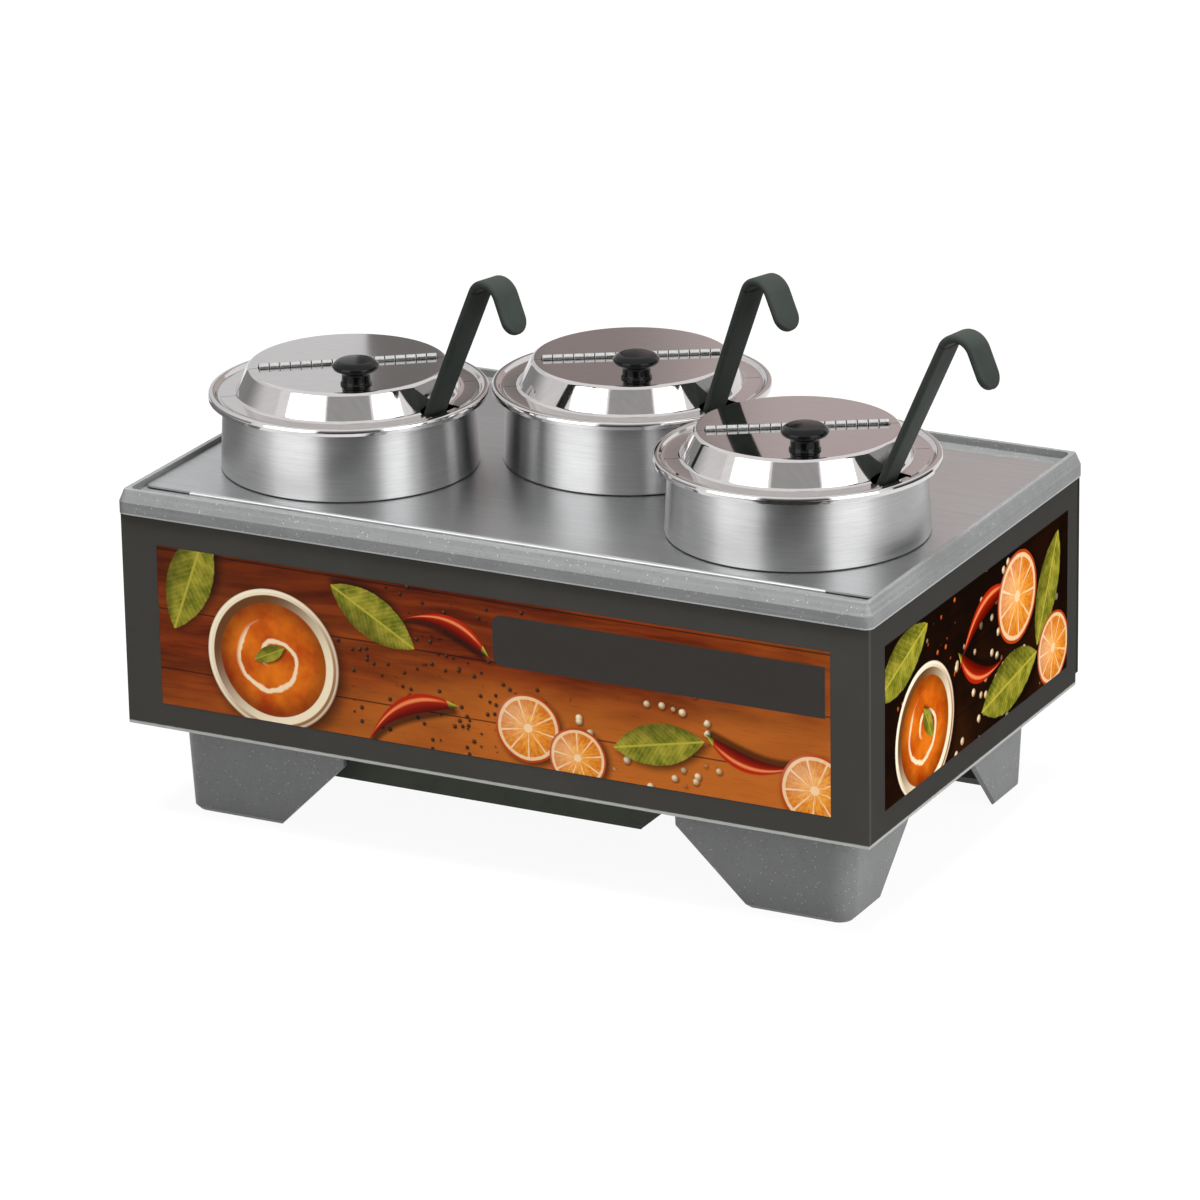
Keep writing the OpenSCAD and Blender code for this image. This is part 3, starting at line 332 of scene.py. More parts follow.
# plastics and paints
def coatedMaterial(name, colour, light, rough, coat, grainScale, grainDepth, shine=0.3):
    mat, w, feed, place, _ = newMaterial(name, Coat_Roughness=0.12, Coat_Weight=coat,
                                         Specular_IOR_Level=shine)
    cloud = w.noise(place, 40, 4)
    grain = w.noise(place, grainScale, 3)
    feed(Base_Color=w.mix(cloud.step(0.35, 0.75) * 0.6 + grain * 0.3, rgba(*colour), rgba(*light)),
         Roughness=rough + (cloud - 0.5) * 0.12 + grain * 0.06,
         Normal=bump(w, grain + cloud * 0.4, grainDepth, 0.0004))
    return mat


print("material makers ready")


# printed films: a plank board with a bowl, leaves, pods and round slices, and a bare dark band
printLook = {"boardDeep": (72, 20, 6), "board": (138, 56, 16), "boardLight": (196, 108, 38),
             "night": (16, 9, 6), "leaf": (88, 96, 20), "leafLight": (186, 172, 62), "skin": (176, 62, 8),
             "flesh": (224, 118, 24), "pocket": (242, 176, 66), "pith": (248, 226, 184),
             "gleam": (255, 240, 210), "cream": (240, 224, 192), "creamDeep": (150, 106, 66),
             "creamGlint": (255, 248, 232), "bowlShade": (104, 64, 34), "pod": (176, 34, 8),
             "podDeep": (84, 10, 4), "podGleam": (246, 150, 90), "podCap": (50, 58, 12),
             "pepper": (16, 10, 8), "pepperLight": (110, 70, 46), "bean": (150, 104, 60),
             "beanLight": (248, 232, 196), "berry": (96, 30, 8), "berryLight": (230, 120, 40),
             "band": (56, 53, 50)}
ink = {name: rgba(*colour) for name, colour in printLook.items()}


def flat(w, a, b):
    return w.node("ShaderNodeCombineXYZ", None, {0: a, 1: b})


def flatPoint(u, v, cu, cv, turn=0):  # the two coordinates about a motif's middle
    du, dv = u - cu, v - cv
    c, s = math.cos(math.radians(turn)), math.sin(math.radians(turn))
    return du * c + dv * s, dv * c - du * s


def span(w, a, b):  # distance from the middle
    return w.math("SQRT", a * a + b * b)


def laid(w, under, shade, inside, body):  # a motif over its own soft shadow
    return w.mix(inside, w.mix(shade * 0.8, under, ink["night"]), body)


# the motifs: each takes what lies under it, its middle and its size in metres, and its turn in degrees
def roundSlice(w, under, u, v, cu, cv, size, turn, lobes=9):  # a cut fruit with segments
    a, b = flatPoint(u, v, cu, cv, turn)
    r = span(w, a, b) + (w.noise(flat(w, a, b), 40, 2) - 0.5) * size * 0.06
    angle = w.math("ARCTAN2", b, a)
    wave = w.math("COSINE", angle * lobes)
    fibre = w.noise(flat(w, angle * 9, r * (5 / size)), 1, 4)
    shade = 1 - span(w, a - size * 0.08, b + size * 0.1).step(size * 0.86, size * 1.18)
    body = w.mix(fibre.step(0.3, 0.7), ink["flesh"], ink["pocket"])
    body = w.mix(r.step(size * 0.2, size * 0.85) * 0.45, body, ink["skin"])
    wall = (1 - wave.step(-0.985, -0.9)) + (1 - r.step(size * 0.1, size * 0.16))
    wall = wall + r.step(size * 0.81, size * 0.85)
    body = w.mix(wall.step(0.2, 0.8) * 0.6, body, ink["pith"])
    body = w.mix(r.step(size * 0.91, size * 0.94), body, ink["skin"])
    gleam = 1 - span(w, a + size * 0.3, b - size * 0.35).step(0.0, size * 0.9)
    body = w.mix(gleam * 0.2, body, ink["gleam"])
    return laid(w, under, shade, 1 - r.step(size * 0.985, size), body)


def leaf(w, under, u, v, cu, cv, size, turn):  # a pointed leaf with a rib
    a, b = flatPoint(u, v, cu, cv, turn)
    bow, reach = size * 0.95, size * 1.38
    edge = w.math("MAXIMUM", span(w, a, b - bow), span(w, a, b + bow))
    edge = edge + (w.noise(flat(w, a, b), 120, 2) - 0.5) * size * 0.05
    aside, low, high = a - size * 0.08, b - bow + size * 0.1, b + bow + size * 0.1
    cast = w.math("MAXIMUM", span(w, aside, low), span(w, aside, high))
    shade = 1 - cast.step(reach * 0.9, reach * 1.08)
    ribs = w.math("SINE", (a + abs(b) * 0.9) * (60 / size))
    tone = w.noise(flat(w, a, b), 90, 4)
    body = w.mix(tone.step(0.3, 0.75) * 0.7 + ribs.step(0.8, 1.0) * 0.3, ink["leaf"], ink["leafLight"])
    body = w.mix((1 - abs(b).step(size * 0.012, size * 0.03)) * 0.8, body, ink["leafLight"])
    body = w.mix(b.step(-size * 0.02, size * 0.4) * 0.45, body, ink["night"])
    return laid(w, under, shade, 1 - edge.step(reach * 0.985, reach), body)


def pod(w, under, u, v, cu, cv, size, turn):  # a long bent pod with a green cap
    a, b = flatPoint(u, v, cu, cv, turn)
    c = b + a * a * (0.34 / size)
    t = a / size
    held = w.math("MINIMUM", w.math("MAXIMUM", t, -1), 1)
    half = (1 - held * held + 0.0001) * (0.6 + held * 0.4) * size * 0.27
    side = c / half
    cast = half + size * 0.05 - abs(c + size * 0.07)
    shade = cast.step(-size * 0.05, size * 0.06) * (1 - abs(t).step(0.85, 1.0))
    body = w.mix(side.step(-0.9, 0.6), ink["podDeep"], ink["pod"])
    gleam = (1 - abs(side - 0.35).step(0.04, 0.3)) * (1 - abs(t).step(0.5, 0.9))
    body = w.mix(gleam * 0.75, body, ink["podGleam"])
    body = w.mix(t.step(0.8, 0.83), body, w.mix(side.step(-0.8, 0.8), ink["podCap"], ink["leafLight"]))
    inside = (half - abs(c)).step(0.0, size * 0.015) * w.math("LESS_THAN", abs(t), 1)
    return laid(w, under, shade, inside, body)


def bowl(w, under, u, v, cu, cv, size):  # a pale bowl of thick soup, seen from above
    a, b = flatPoint(u, v, cu, cv)
    r = span(w, a, b)
    light = (b - a) * (0.7 / size)
    shade = 1 - span(w, a - size * 0.07, b + size * 0.09).step(size * 0.86, size * 1.16)
    rim = w.mix(light.step(-1.0, 0.9), ink["creamDeep"], ink["cream"])
    rim = w.mix((1 - abs(r - size * 0.965).step(0.0, size * 0.025)) * 0.5, rim, ink["creamGlint"])
    wall = w.mix(light.step(-0.7, 0.7), ink["cream"], ink["bowlShade"])
    rim = w.mix(1 - r.step(size * 0.9, size * 0.915), rim, wall)
    drift = w.noise(flat(w, a, b), 36, 4)
    swirl = w.math("SINE", w.math("ARCTAN2", b, a) + r * (17 / size) + drift * 4)
    soup = w.mix(drift.step(0.3, 0.7), ink["skin"], ink["flesh"])
    ring = r.step(size * 0.1, size * 0.2) * (1 - r.step(size * 0.5, size * 0.6))
    soup = w.mix(swirl.step(0.72, 0.97) * ring * 0.9, soup, ink["pith"])
    soup = w.mix(r.step(size * 0.5, size * 0.8) * 0.6, soup, ink["boardDeep"])
    body = w.mix(1 - r.step(size * 0.79, size * 0.805), rim, soup)
    return laid(w, under, shade, 1 - r.step(size * 0.985, size), body)


# small round things round one place: scale is cells to the metre, share how many of them are filled
def strewn(w, under, u, v, cu, cv, spread, kind, scale, share, reach=0.3):
    spot = flat(w, u, v)
    lit = w.cells(flat(w, u + 0.1 / scale, v - 0.1 / scale), scale)
    cast = w.cells(flat(w, u - 0.08 / scale, v + 0.1 / scale), scale)
    gone = span(w, u - cu, v - cv).step(spread * 0.2, spread)
    here = w.math("LESS_THAN", w.pick(spot, scale) + gone * share, share)
    shadow = here * (1 - cast.step(reach * 0.7, reach * 1.4))
    under = w.mix(shadow * 0.6, under, ink["night"])
    body = w.mix(lit.step(0.0, reach * 1.3), ink[kind + "Light"], ink[kind])
    return w.mix(here * (1 - w.cells(spot, scale).step(reach * 0.9, reach)), under, body)


def board(w, u, v, dark):  # planks, darkened by a share
    wave = w.noise(flat(w, u * 3, v * 9), 1.4, 4)
    grain = w.noise(flat(w, u * 6, v * 75 + wave * 3), 1.0, 6, 0.65)
    pores = w.noise(flat(w, u * 40, v * 1100), 1.0, 3)
    base = w.mix(grain.step(0.3, 0.7), ink["boardDeep"], ink["board"])
    base = w.mix((wave - v * 3 + u * 0.5).step(0.35, 0.8) * 0.8, base, ink["boardLight"])
    base = w.mix(pores.step(0.55, 0.8) * 0.5, base, ink["boardDeep"])
    seam = 1 - abs(w.math("WRAP", v - 0.012, 0.021, -0.021)).step(0.0002, 0.0008)
    base = w.mix(seam * 0.75, base, ink["night"])
    return w.mix(dark, base, ink["night"])


def drawn(w, under, u, v, motifs):  # one motif after another
    for motif, *setting in motifs:
        under = motif(w, under, u, v, *setting)
    return under


def finishPrint(w, feed, place, colour):
    film = w.noise(place, 1800, 2)
    feed(Base_Color=colour, Roughness=0.3 + film * 0.1, Normal=bump(w, film, 0.06, 0.0002))


frontMotifs = (
    (strewn, -0.03, -0.01, 0.1, "pepper", 190, 0.5),
    (strewn, 0.13, -0.03, 0.09, "bean", 120, 0.4, 0.34),
    (leaf, -0.222, 0.036, 0.04, 70),
    (bowl, -0.16, -0.012, 0.05),
    (leaf, -0.163, -0.008, 0.013, 25),
    (leaf, -0.084, 0.03, 0.036, 150),
    (pod, -0.062, -0.03, 0.04, 28),
    (pod, -0.028, 0.034, 0.034, -14),
    (roundSlice, 0.03, -0.03, 0.024, 10),
    (roundSlice, 0.066, -0.045, 0.021, 32),
    (leaf, 0.125, -0.026, 0.034, 12),
    (pod, 0.192, -0.03, 0.036, 172),
    (roundSlice, 0.236, -0.04, 0.025, 5),
)
bandShape = {"left": 0.005, "rightIn": 0.0035, "up": 0.0278, "half": 0.0175, "corner": 0.007, "soft": 0.0002}


def frontPrint(band, low, high):
    mat, w, feed, place, (x, y, z) = newMaterial("frontPrint", Specular_IOR_Level=0.05)
    u, v = x, z - (low.z + high.z) / 2
    ground = board(w, u, v, (v - u * 0.2).step(0.03, 0.13) * 0.6)      # darker at the upper left
    art = drawn(w, ground, u, v, frontMotifs)
    corner, soft, right = band["corner"], band["soft"], high.x - band["rightIn"]
    du = w.math("MAXIMUM", band["left"] + corner - u, 0)
    dv = w.math("MAXIMUM", abs(v - band["up"]) - (band["half"] - corner), 0)
    bare = 1 - span(w, du, dv).step(corner - soft, corner + soft)
    bare = bare * (1 - u.step(right - soft, right + soft))
    finishPrint(w, feed, place, w.mix(bare, art, ink["band"]))
    return mat


sideMotifs = (
    (strewn, 0.02, 0.0, 0.12, "bean", 110, 0.55, 0.34),
    (strewn, -0.07, 0.03, 0.07, "berry", 150, 0.5),
    (leaf, -0.12, 0.036, 0.042, 20),
    (leaf, 0.05, -0.034, 0.046, 8),
    (bowl, -0.085, -0.022, 0.046),
    (leaf, -0.08, -0.018, 0.014, 120),
    (pod, 0.002, 0.03, 0.045, 24),
    (pod, 0.0, -0.012, 0.04, 160),
    (roundSlice, 0.062, 0.022, 0.032, 15),
    (leaf, 0.112, 0.012, 0.04, 64),
    (roundSlice, 0.122, -0.034, 0.026, 40),
)


def sidePrint(name, low, high, flip):
    mat, w, feed, place, (x, y, z) = newMaterial(name, Specular_IOR_Level=0.0)
    u, v = (y - (low.y + high.y) / 2) * flip, z - (low.z + high.z) / 2
    ground = board(w, u, v, w.noise(place, 14, 3).step(0.3, 0.6) * 0.05 + 0.94)
    finishPrint(w, feed, place, drawn(w, ground, u, v, sideMotifs))
    return mat


# mesh helpers
def addMesh(name, verts, faces, body, sharpAngle):
    mesh = bpy.data.meshes.new(name)
    mesh.from_pydata(verts, [], faces)
    obj = bpy.data.objects.new(name, mesh)
    scene.collection.objects.link(obj)
    shadeByAngle(obj, sharpAngle)
    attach(obj, body)
    return obj


def shadeByAngle(obj, sharpAngle):
    bm = bmesh.new()
    bm.from_mesh(obj.data)
    bmesh.ops.remove_doubles(bm, verts=bm.verts, dist=1e-7)
    bmesh.ops.recalc_face_normals(bm, faces=bm.faces)
    for face in bm.faces:
        face.smooth = True
    for edge in bm.edges:
        if len(edge.link_faces) == 2:
            edge.smooth = edge.calc_face_angle(0) < math.radians(sharpAngle)
    bm.to_mesh(obj.data)
    bm.free()


def rounded(points, steps=10):  # fillets each inner corner (r, z, radius) of a path
    path = [Vector(points[0][:2])]
    for before, here, after in zip(points, points[1:], points[2:]):
        p, radius = Vector(here[:2]), here[2]
        a, b = (Vector(before[:2]) - p), (Vector(after[:2]) - p)
        angle = a.angle(b)
        if radius <= 0 or angle > math.pi - 0.01:
            path.append(p)
            continue
        cut = min(radius / math.tan(angle / 2), 0.49 * a.length, 0.49 * b.length)
        radius = cut * math.tan(angle / 2)
        centre = p + (a.normalized() + b.normalized()).normalized() * radius / math.sin(angle / 2)
        start, end = p + a.normalized() * cut - centre, p + b.normalized() * cut - centre
        sweep = start.angle_signed(end)
        for k in range(steps + 1):
            path.append(centre + Matrix.Rotation(-sweep * k / steps, 2) @ start)
    return path + [Vector(points[-1][:2])]


def sheetLoop(path, thick):  # closed outline of a sheet on the left of a path
    def normal(a, b):
        d = (b - a).normalized()
        return Vector((-d.y, d.x))
    other = []
    for k, p in enumerate(path):
        first = normal(path[max(k, 1) - 1], path[max(k, 1)])
        second = normal(path[min(k, len(path) - 2)], path[min(k, len(path) - 2) + 1])
        m = (first + second).normalized()
        other.append(p + m * thick / max(m.dot(first), 0.2))
    return path + other[::-1]


def lathe(name, loop, body, centre, height, segments=200, sharpAngle=38):
    verts, faces, rings = [], [], []
    for p in loop:
        if p.x < 1e-6:
            rings.append([len(verts)])
            verts.append((centre[0], centre[1], height + p.y))
            continue
        rings.append(list(range(len(verts), len(verts) + segments)))
        for k in range(segments):
            a = 2 * math.pi * k / segments
            verts.append((centre[0] + p.x * math.cos(a), centre[1] + p.x * math.sin(a), height + p.y))
    for a, b in zip(rings, rings[1:] + rings[:1]):
        for k in range(segments):
            quad = [a[k % len(a)], a[(k + 1) % len(a)], b[(k + 1) % len(b)], b[k % len(b)]]
            quad = list(dict.fromkeys(quad))
            if len(quad) > 2:
                faces.append(quad)
    return addMesh(name, verts, faces, body, sharpAngle)


def potPlace(side):  # middle of a pot and the turn of its lid
    hinge = joints["flap_hinge_" + side]
    return Vector(hinge["pos_m"]), math.atan2(-hinge["axis"][1], -hinge["axis"][0])


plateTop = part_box("collar_left")[0].z
print("plate top at", round(plateTop, 4))


# soup insets: one drawn sheet with a rolled, polished rim
insetShape = {
    "sheet": 0.0008,
    "seat": 0.0505,         # over the plate
    "rim": ((0.0939, -0.0024, 0), (0.0943, 0, 0.002), (0.0937, 0.0024, 0.0026), (0.0903, 0.0025, 0.002),
            (0.0882, 0, 0.0012), (0.0824, 0, 0.0009)),  # radius, height over the seat, fillet
    "bottom": 0.0762,
    "bottomRound": 0.018,
}


def makeInset(side, s):
    pin, _ = potPlace(side)
    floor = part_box("inset_" + side)[0].z - plateTop + s["sheet"]
    corners = [(r, s["seat"] + z, fillet) for r, z, fillet in s["rim"]]
    path = rounded(corners + [(s["bottom"], floor, s["bottomRound"]), (0, floor, 0)])
    obj = lathe("insetPot_" + side, sheetLoop(path, s["sheet"]), "inset_body_" + side, pin, plateTop)
    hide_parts("inset_" + side)


# lids: a dished sheet, split along its hinge, with a notch in the flap
lidShape = {"sheet": 0.0008, "edge": 0.0862, "foot": 0.076, "flat": 0.067, "seat": 0.0505, "crown": 0.0182,
            "footRound": 0.003, "topRound": 0.0035, "split": 0.0005, "barrelLong": 0.1208,
            "barrelHalf": 0.003, "notchWide": 0.028, "notchIn": 0.0732, "notchTurn": 47.5,
            "notchCorner": 0.0025, "sharpAngle": 30}


def cutAway(obj, cutter):
    mod = obj.modifiers.new("cut", "BOOLEAN")
    mod.operation, mod.object, mod.solver = "DIFFERENCE", cutter, "EXACT"
    mesh = bpy.data.meshes.new_from_object(obj.evaluated_get(bpy.context.evaluated_depsgraph_get()))
    obj.modifiers.clear()
    old = obj.data
    obj.data = mesh
    bpy.data.meshes.remove(old)


def boxCutter(low, high, place, cornerRadius=0.0):  # box in a lid's own frame
    bm = bmesh.new()
    bmesh.ops.create_cube(bm, size=1)
    for v in bm.verts:
        v.co = Vector((a + (0.5 + k) * (b - a) for a, b, k in zip(low, high, v.co)))
    if cornerRadius:
        upright = [e for e in bm.edges if abs((e.verts[0].co - e.verts[1].co).z) > 1e-6]
        bmesh.ops.bevel(bm, geom=upright, offset=cornerRadius, segments=8, affect="EDGES", profile=0.5)
    mesh = bpy.data.meshes.new("cutter")
    bm.to_mesh(mesh)
    bm.free()
    obj = bpy.data.objects.new("cutter", mesh)
    obj.matrix_world = place
    scene.collection.objects.link(obj)
    bpy.context.view_layer.update()
    return obj


def makeLidHalf(side, s, front):
    pin, turn = potPlace(side)
    flange = s["seat"] + s["sheet"]
    top = flange + s["crown"]
    path = rounded([(s["edge"], flange, 0), (s["foot"], flange, s["footRound"]),
                    (s["flat"], top, s["topRound"]), (0, top, 0)])
    name, body = ("lidFlap_", "flap_body_") if front else ("lidBack_", "lid_body_")
    obj = lathe(name + side, sheetLoop(path, s["sheet"]), body + side, pin, plateTop)
    place = Matrix.Translation((pin.x, pin.y, plateTop)) @ Matrix.Rotation(turn, 4, "Z")
    far, low, high = 0.1, 0.04, 0.08        # cutters reach well past the sheet
    gap, barrel, notch = s["split"] / 2, s["barrelLong"] / 2, s["notchWide"] / 2
    if front:
        cuts = [boxCutter((-far, -gap, low), (far, far, high), place)]
    else:
        cuts = [boxCutter((-far, -far, low), (far, gap, high), place)]
    cuts.append(boxCutter((-barrel, -s["barrelHalf"], low), (barrel, s["barrelHalf"], high), place))
    if front:
        lean = place @ Matrix.Rotation(-math.radians(s["notchTurn"]), 4, "Z")
        cuts.append(boxCutter((s["notchIn"], -notch, low), (s["notchIn"] + far, notch, high), lean,
                              s["notchCorner"]))
    for cutter in cuts:
        cutAway(obj, cutter)
        bpy.data.objects.remove(cutter)
    shadeByAngle(obj, s["sharpAngle"])
    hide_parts(("lid_flap_" if front else "lid_back_") + side)


# collars: flared rings with a soft rounded foot
collarShape = {"sheet": 0.0009, "top": 0.0845, "low": 0.0871, "height": 0.0497, "turnIn": 0.0025,
               "footRound": 0.0016, "lift": 0.00002}


def makeCollar(side, s):
    pin, _ = potPlace(side)
    path = rounded([(s["low"] - s["turnIn"], s["lift"], 0), (s["low"], s["lift"], s["footRound"]),
                    (s["top"], s["height"], 0)], 8)
    obj = lathe("collarRing_" + side, sheetLoop(path, s["sheet"]), "plate", pin, plateTop)
    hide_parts("collar_" + side)


# lid knobs: turned black mushrooms
knobShape = {
    "profile": ((0, 0, 0), (0.0105, 0, 0.0004), (0.0105, 0.0012, 0.0006), (0.0097, 0.0024, 0.002),
                (0.0093, 0.0085, 0.0028), (0.0148, 0.0107, 0.0012), (0.016, 0.0131, 0.0022),
                (0.0126, 0.0168, 0.007), (0, 0.018, 0)),  # radius, height, fillet
    "segments": 96,
    "sharpAngle": 50,
}


def makeKnob(side, s):
    low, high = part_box("lid_knob_" + side)
    obj = lathe("lidKnob_" + side, rounded(s["profile"]), "flap_body_" + side, (low + high) / 2, low.z,
                s["segments"], s["sharpAngle"])
    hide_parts("lid_knob_" + side)


for side in sides:
    makeInset(side, insetShape)
    makeCollar(side, collarShape)
    makeLidHalf(side, lidShape, True)
    makeLidHalf(side, lidShape, False)
    makeKnob(side, knobShape)
print("pots and lids built")


# ladle handles: a flat strip with soft edges, bent over into a hook with a round end
gripShape = {"wide": 0.0204, "footWide": 0.0182, "sink": 0.06, "widens": 0.09, "thick": 0.0055,
             "edge": 0.0023, "bend": 0.0125, "turn": 130, "tail": 0.026, "endIn": (0.0012, 0.0004, 0.0),
             "endUp": (0.0, 0.0004, 0.0014), "tipThin": 0.35, "tipPower": 6, "tipAngle": 89,
             "riseSteps": 24, "bendSteps": 32, "tailSteps": 4, "tipSteps": 16, "sharpAngle": 60}


def stripSection(wide, thick, edge, steps=5):  # half widths are never below the edge radius
    w, t = max(wide / 2 - edge, 0.00001), max(thick / 2 - edge, 0.00001)
    points = []
    for sx, sy, start in ((1, 1, 0), (-1, 1, 90), (-1, -1, 180), (1, -1, 270)):
        for k in range(steps + 1):
            a = math.radians(start + 90 * k / steps)
            points.append((sx * t + edge * math.cos(a), sy * w + edge * math.sin(a)))
    return points


def gripStations(s, start, slide, face, rise):  # place, normal, width and thickness along the strip
    stations = []
    for inward, up in zip(s["endIn"], s["endUp"]):
        stations.append((start + slide * up, face, s["footWide"] - inward, s["thick"] - inward))
    foot = s["endUp"][-1]
    for k in range(1, s["riseSteps"] + 1):
        up = foot + (rise - foot) * k / s["riseSteps"]
        share = min(max((up - s["sink"]) / s["widens"], 0), 1)
        wide = s["footWide"] + (s["wide"] - s["footWide"]) * share * share * (3 - 2 * share)
        stations.append((start + slide * up, face, wide, s["thick"]))
    middle = start + slide * rise + face * s["bend"]
    for k in range(1, s["bendSteps"] + 1):
        a = math.radians(180 - s["turn"] * k / s["bendSteps"])
        d = face * math.cos(a) + slide * math.sin(a)
        stations.append((middle + d * s["bend"], d, s["wide"], s["thick"]))
    ahead = face * math.sin(a) - slide * math.cos(a)
    bendEnd, half = middle + d * s["bend"], s["wide"] / 2
    straight = s["tail"] - half
    for k in range(1, s["tailSteps"] + 1):
        stations.append((bendEnd + ahead * straight * k / s["tailSteps"], d, s["wide"], s["thick"]))
    for k in range(1, s["tipSteps"] + 1):
        b = math.radians(s["tipAngle"] * k / s["tipSteps"])
        thin = s["thick"] * (1 - s["tipThin"] * (k / s["tipSteps"]) ** s["tipPower"])
        tip = bendEnd + ahead * (straight + half * math.sin(b))
        stations.append((tip, d, s["wide"] * math.cos(b), thin))
    return stations


def makeGrip(side, s):
    slide = Vector(joints["ladle_lift_" + side]["axis"]).normalized()
    out = Vector((slide.x, slide.y, 0)).normalized()
    across = Vector((0, 0, 1)).cross(out)
    face = across.cross(slide)
    verts = [v.co for v in frame["nodes"]["ladle_grip_" + side].data.vertices]
    along = [v.dot(slide) for v in verts]
    low = min(along)
    foot = [v for v, a in zip(verts, along) if a < low + 1e-4]
    start = slide * low
    for way in (face, across):              # the middle of the lower end
        reaches = [v.dot(way) for v in foot]
        start += way * (max(reaches) + min(reaches)) / 2
    rise = max(along) - low - s["bend"] - s["thick"] / 2
    rings, faces = [], []
    for place, normal, wide, thick in gripStations(s, start, slide, face, rise):
        edge = min(s["edge"], wide / 2.02, thick / 2.02)
        rings.append([place + normal * a + across * b for a, b in stripSection(wide, thick, edge)])
    count = len(rings[0])
    for i in range(len(rings) - 1):
        for k in range(count):
            n = (k + 1) % count
            faces.append((i * count + k, i * count + n, (i + 1) * count + n, (i + 1) * count + k))
    faces.append(tuple(range(count)))
    faces.append(tuple((len(rings) - 1) * count + k for k in range(count)))
    obj = addMesh("ladleGrip_" + side, [p for ring in rings for p in ring], faces, "ladle_body_" + side,
                  s["sharpAngle"])
    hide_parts("ladle_grip_" + side)


for side in sides:
    makeGrip(side, gripShape)
print("ladle handles built")


# finishes for every piece
panelLow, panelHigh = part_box("panel_right")
stripFrom = panelHigh.y - 0.004             # the panels' rear edge is darker
insetSteel = polishedMaterial("insetSteel", (214, 211, 210), 0.07)
lidSteel = polishedMaterial("lidSteel", (214, 210, 209), 0.05)
blackGloss = coatedMaterial("blackGloss", (6, 7, 7), (10, 11, 11), 0.1, 0.0, 500, 0.03, 0.22)
gripCoating = coatedMaterial("gripCoating", (42, 46, 43), (50, 55, 51), 0.5, 0.0, 1100, 0.07, 0.1)
slotFinish = {
    "resin": resinMaterial(resinLook, panelHigh.z),
    "panel_board": panelMaterial("frontPanel", panelLook, panelLow.z, stripFrom),
    "plate_steel": steelMaterial("plateSteel", (216, 217, 218), 0.34, (14, 900, 900)),
    "well_steel": steelMaterial("wellSteel", (190, 189, 187), 0.32, (60, 60, 260)),
    "zinc_steel": steelMaterial("zincSteel", (186, 186, 182), 0.36, (300, 300, 300)),
    # the pin's steel is darkened as painted shade, since it shows only in the gaps between knuckles
    "hinge_steel": steelMaterial("pinSteelShaded", (70, 70, 70), 0.4, (240, 240, 240), 0.08),
    "ladle_steel": steelMaterial("ladleSteel", (205, 204, 200), 0.22, (120, 120, 500)),
    "element_steel": steelMaterial("elementSteel", (96, 84, 74), 0.45, (90, 90, 90), 0.14),
    "inset_steel": insetSteel,
    "lid_steel": lidSteel,
    "black_steel": coatedMaterial("blackSteel", (66, 70, 60), (76, 80, 71), 0.5, 0.0, 700, 0.2, 0.1),
    "black_gloss": blackGloss,
    "grip_coating": gripCoating,
    "white_plastic": coatedMaterial("whitePlastic", (214, 210, 198), (226, 222, 212), 0.45, 0.0, 900, 0.15),
    "red_lens": coatedMaterial("redLens", (150, 20, 12), (190, 36, 22), 0.16, 0.5, 400, 0.04),
    "black_rubber": coatedMaterial("blackRubber", (18, 18, 18), (34, 34, 33), 0.62, 0.0, 900, 0.3),
}

# pieces with a finish of their own
# painted shade: the side panels get a darker copy of the front panels' film
shadedSidePanel = panelMaterial("shadedSidePanel", sidePanelShadedLook, panelLow.z, stripFrom)
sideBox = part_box("print_right")
ownFinish = {"panel_left": shadedSidePanel, "panel_right": shadedSidePanel,
             "print_front": frontPrint(bandShape, *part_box("print_front")),
             "print_right": sidePrint("sidePrintRight", *sideBox, 1),
             "print_left": sidePrint("sidePrintLeft", *sideBox, -1)}
for side in sides:
    pin, turn = potPlace(side)
    hingeSteel = hingeMaterial("hingeSteel_" + side, hingeLook, pin, turn)
    collarSteel = ringSteelMaterial("collarSteel_" + side, ringLook, pin, plateTop)
    ownFinish.update({"hinge_back_leaf_" + side: hingeSteel, "hinge_front_leaf_" + side: hingeSteel,
                      "collar_" + side: collarSteel, "collarRing_" + side: collarSteel,
                      "insetPot_" + side: insetSteel, "lidFlap_" + side: lidSteel,
                      "lidBack_" + side: lidSteel, "lidKnob_" + side: blackGloss,
                      "ladleGrip_" + side: gripCoating})


def dress(obj, mat):
    obj.data.materials.clear()
    obj.data.materials.append(mat)


for name, obj in frame["nodes"].items():
    dress(obj, ownFinish.get(name) or slotFinish[slotOf[name]])
for obj in scene.objects:
    if obj.name in ownFinish:
        dress(obj, ownFinish[obj.name])
print("finishes set")


# studio: white floor, two tall soft lamps beside the camera, and cards that the polished steel reflects
studio = {"floorSize": 12, "floor": (165, 165, 165), "floorMottle": (156, 156, 156), "floorGlow": 1.2,
          "floorShare": 0.78, "worldLight": 0.2, "aim": (0, 0, 0.2), "reach": 2.1, "tall": 2.2,
          "keyPower": 3, "fillPower": 42, "topPower": 124, "backPower": 24, "lampGlow": 2.8,
          "wide": (1.6, 1.2), "matReach": 1.35, "matUp": 0.012, "matSize": (1.0, 1.7)}


def seenRays(w):  # 1 for what the camera sees straight or by way of gloss or glass
    straight, gloss, glass = (w.node("ShaderNodeLightPath", None, None, k)
                              for k in ("Is Camera Ray", "Is Glossy Ray", "Is Transmission Ray"))
    return w.math("MAXIMUM", w.math("MAXIMUM", straight, gloss), glass)


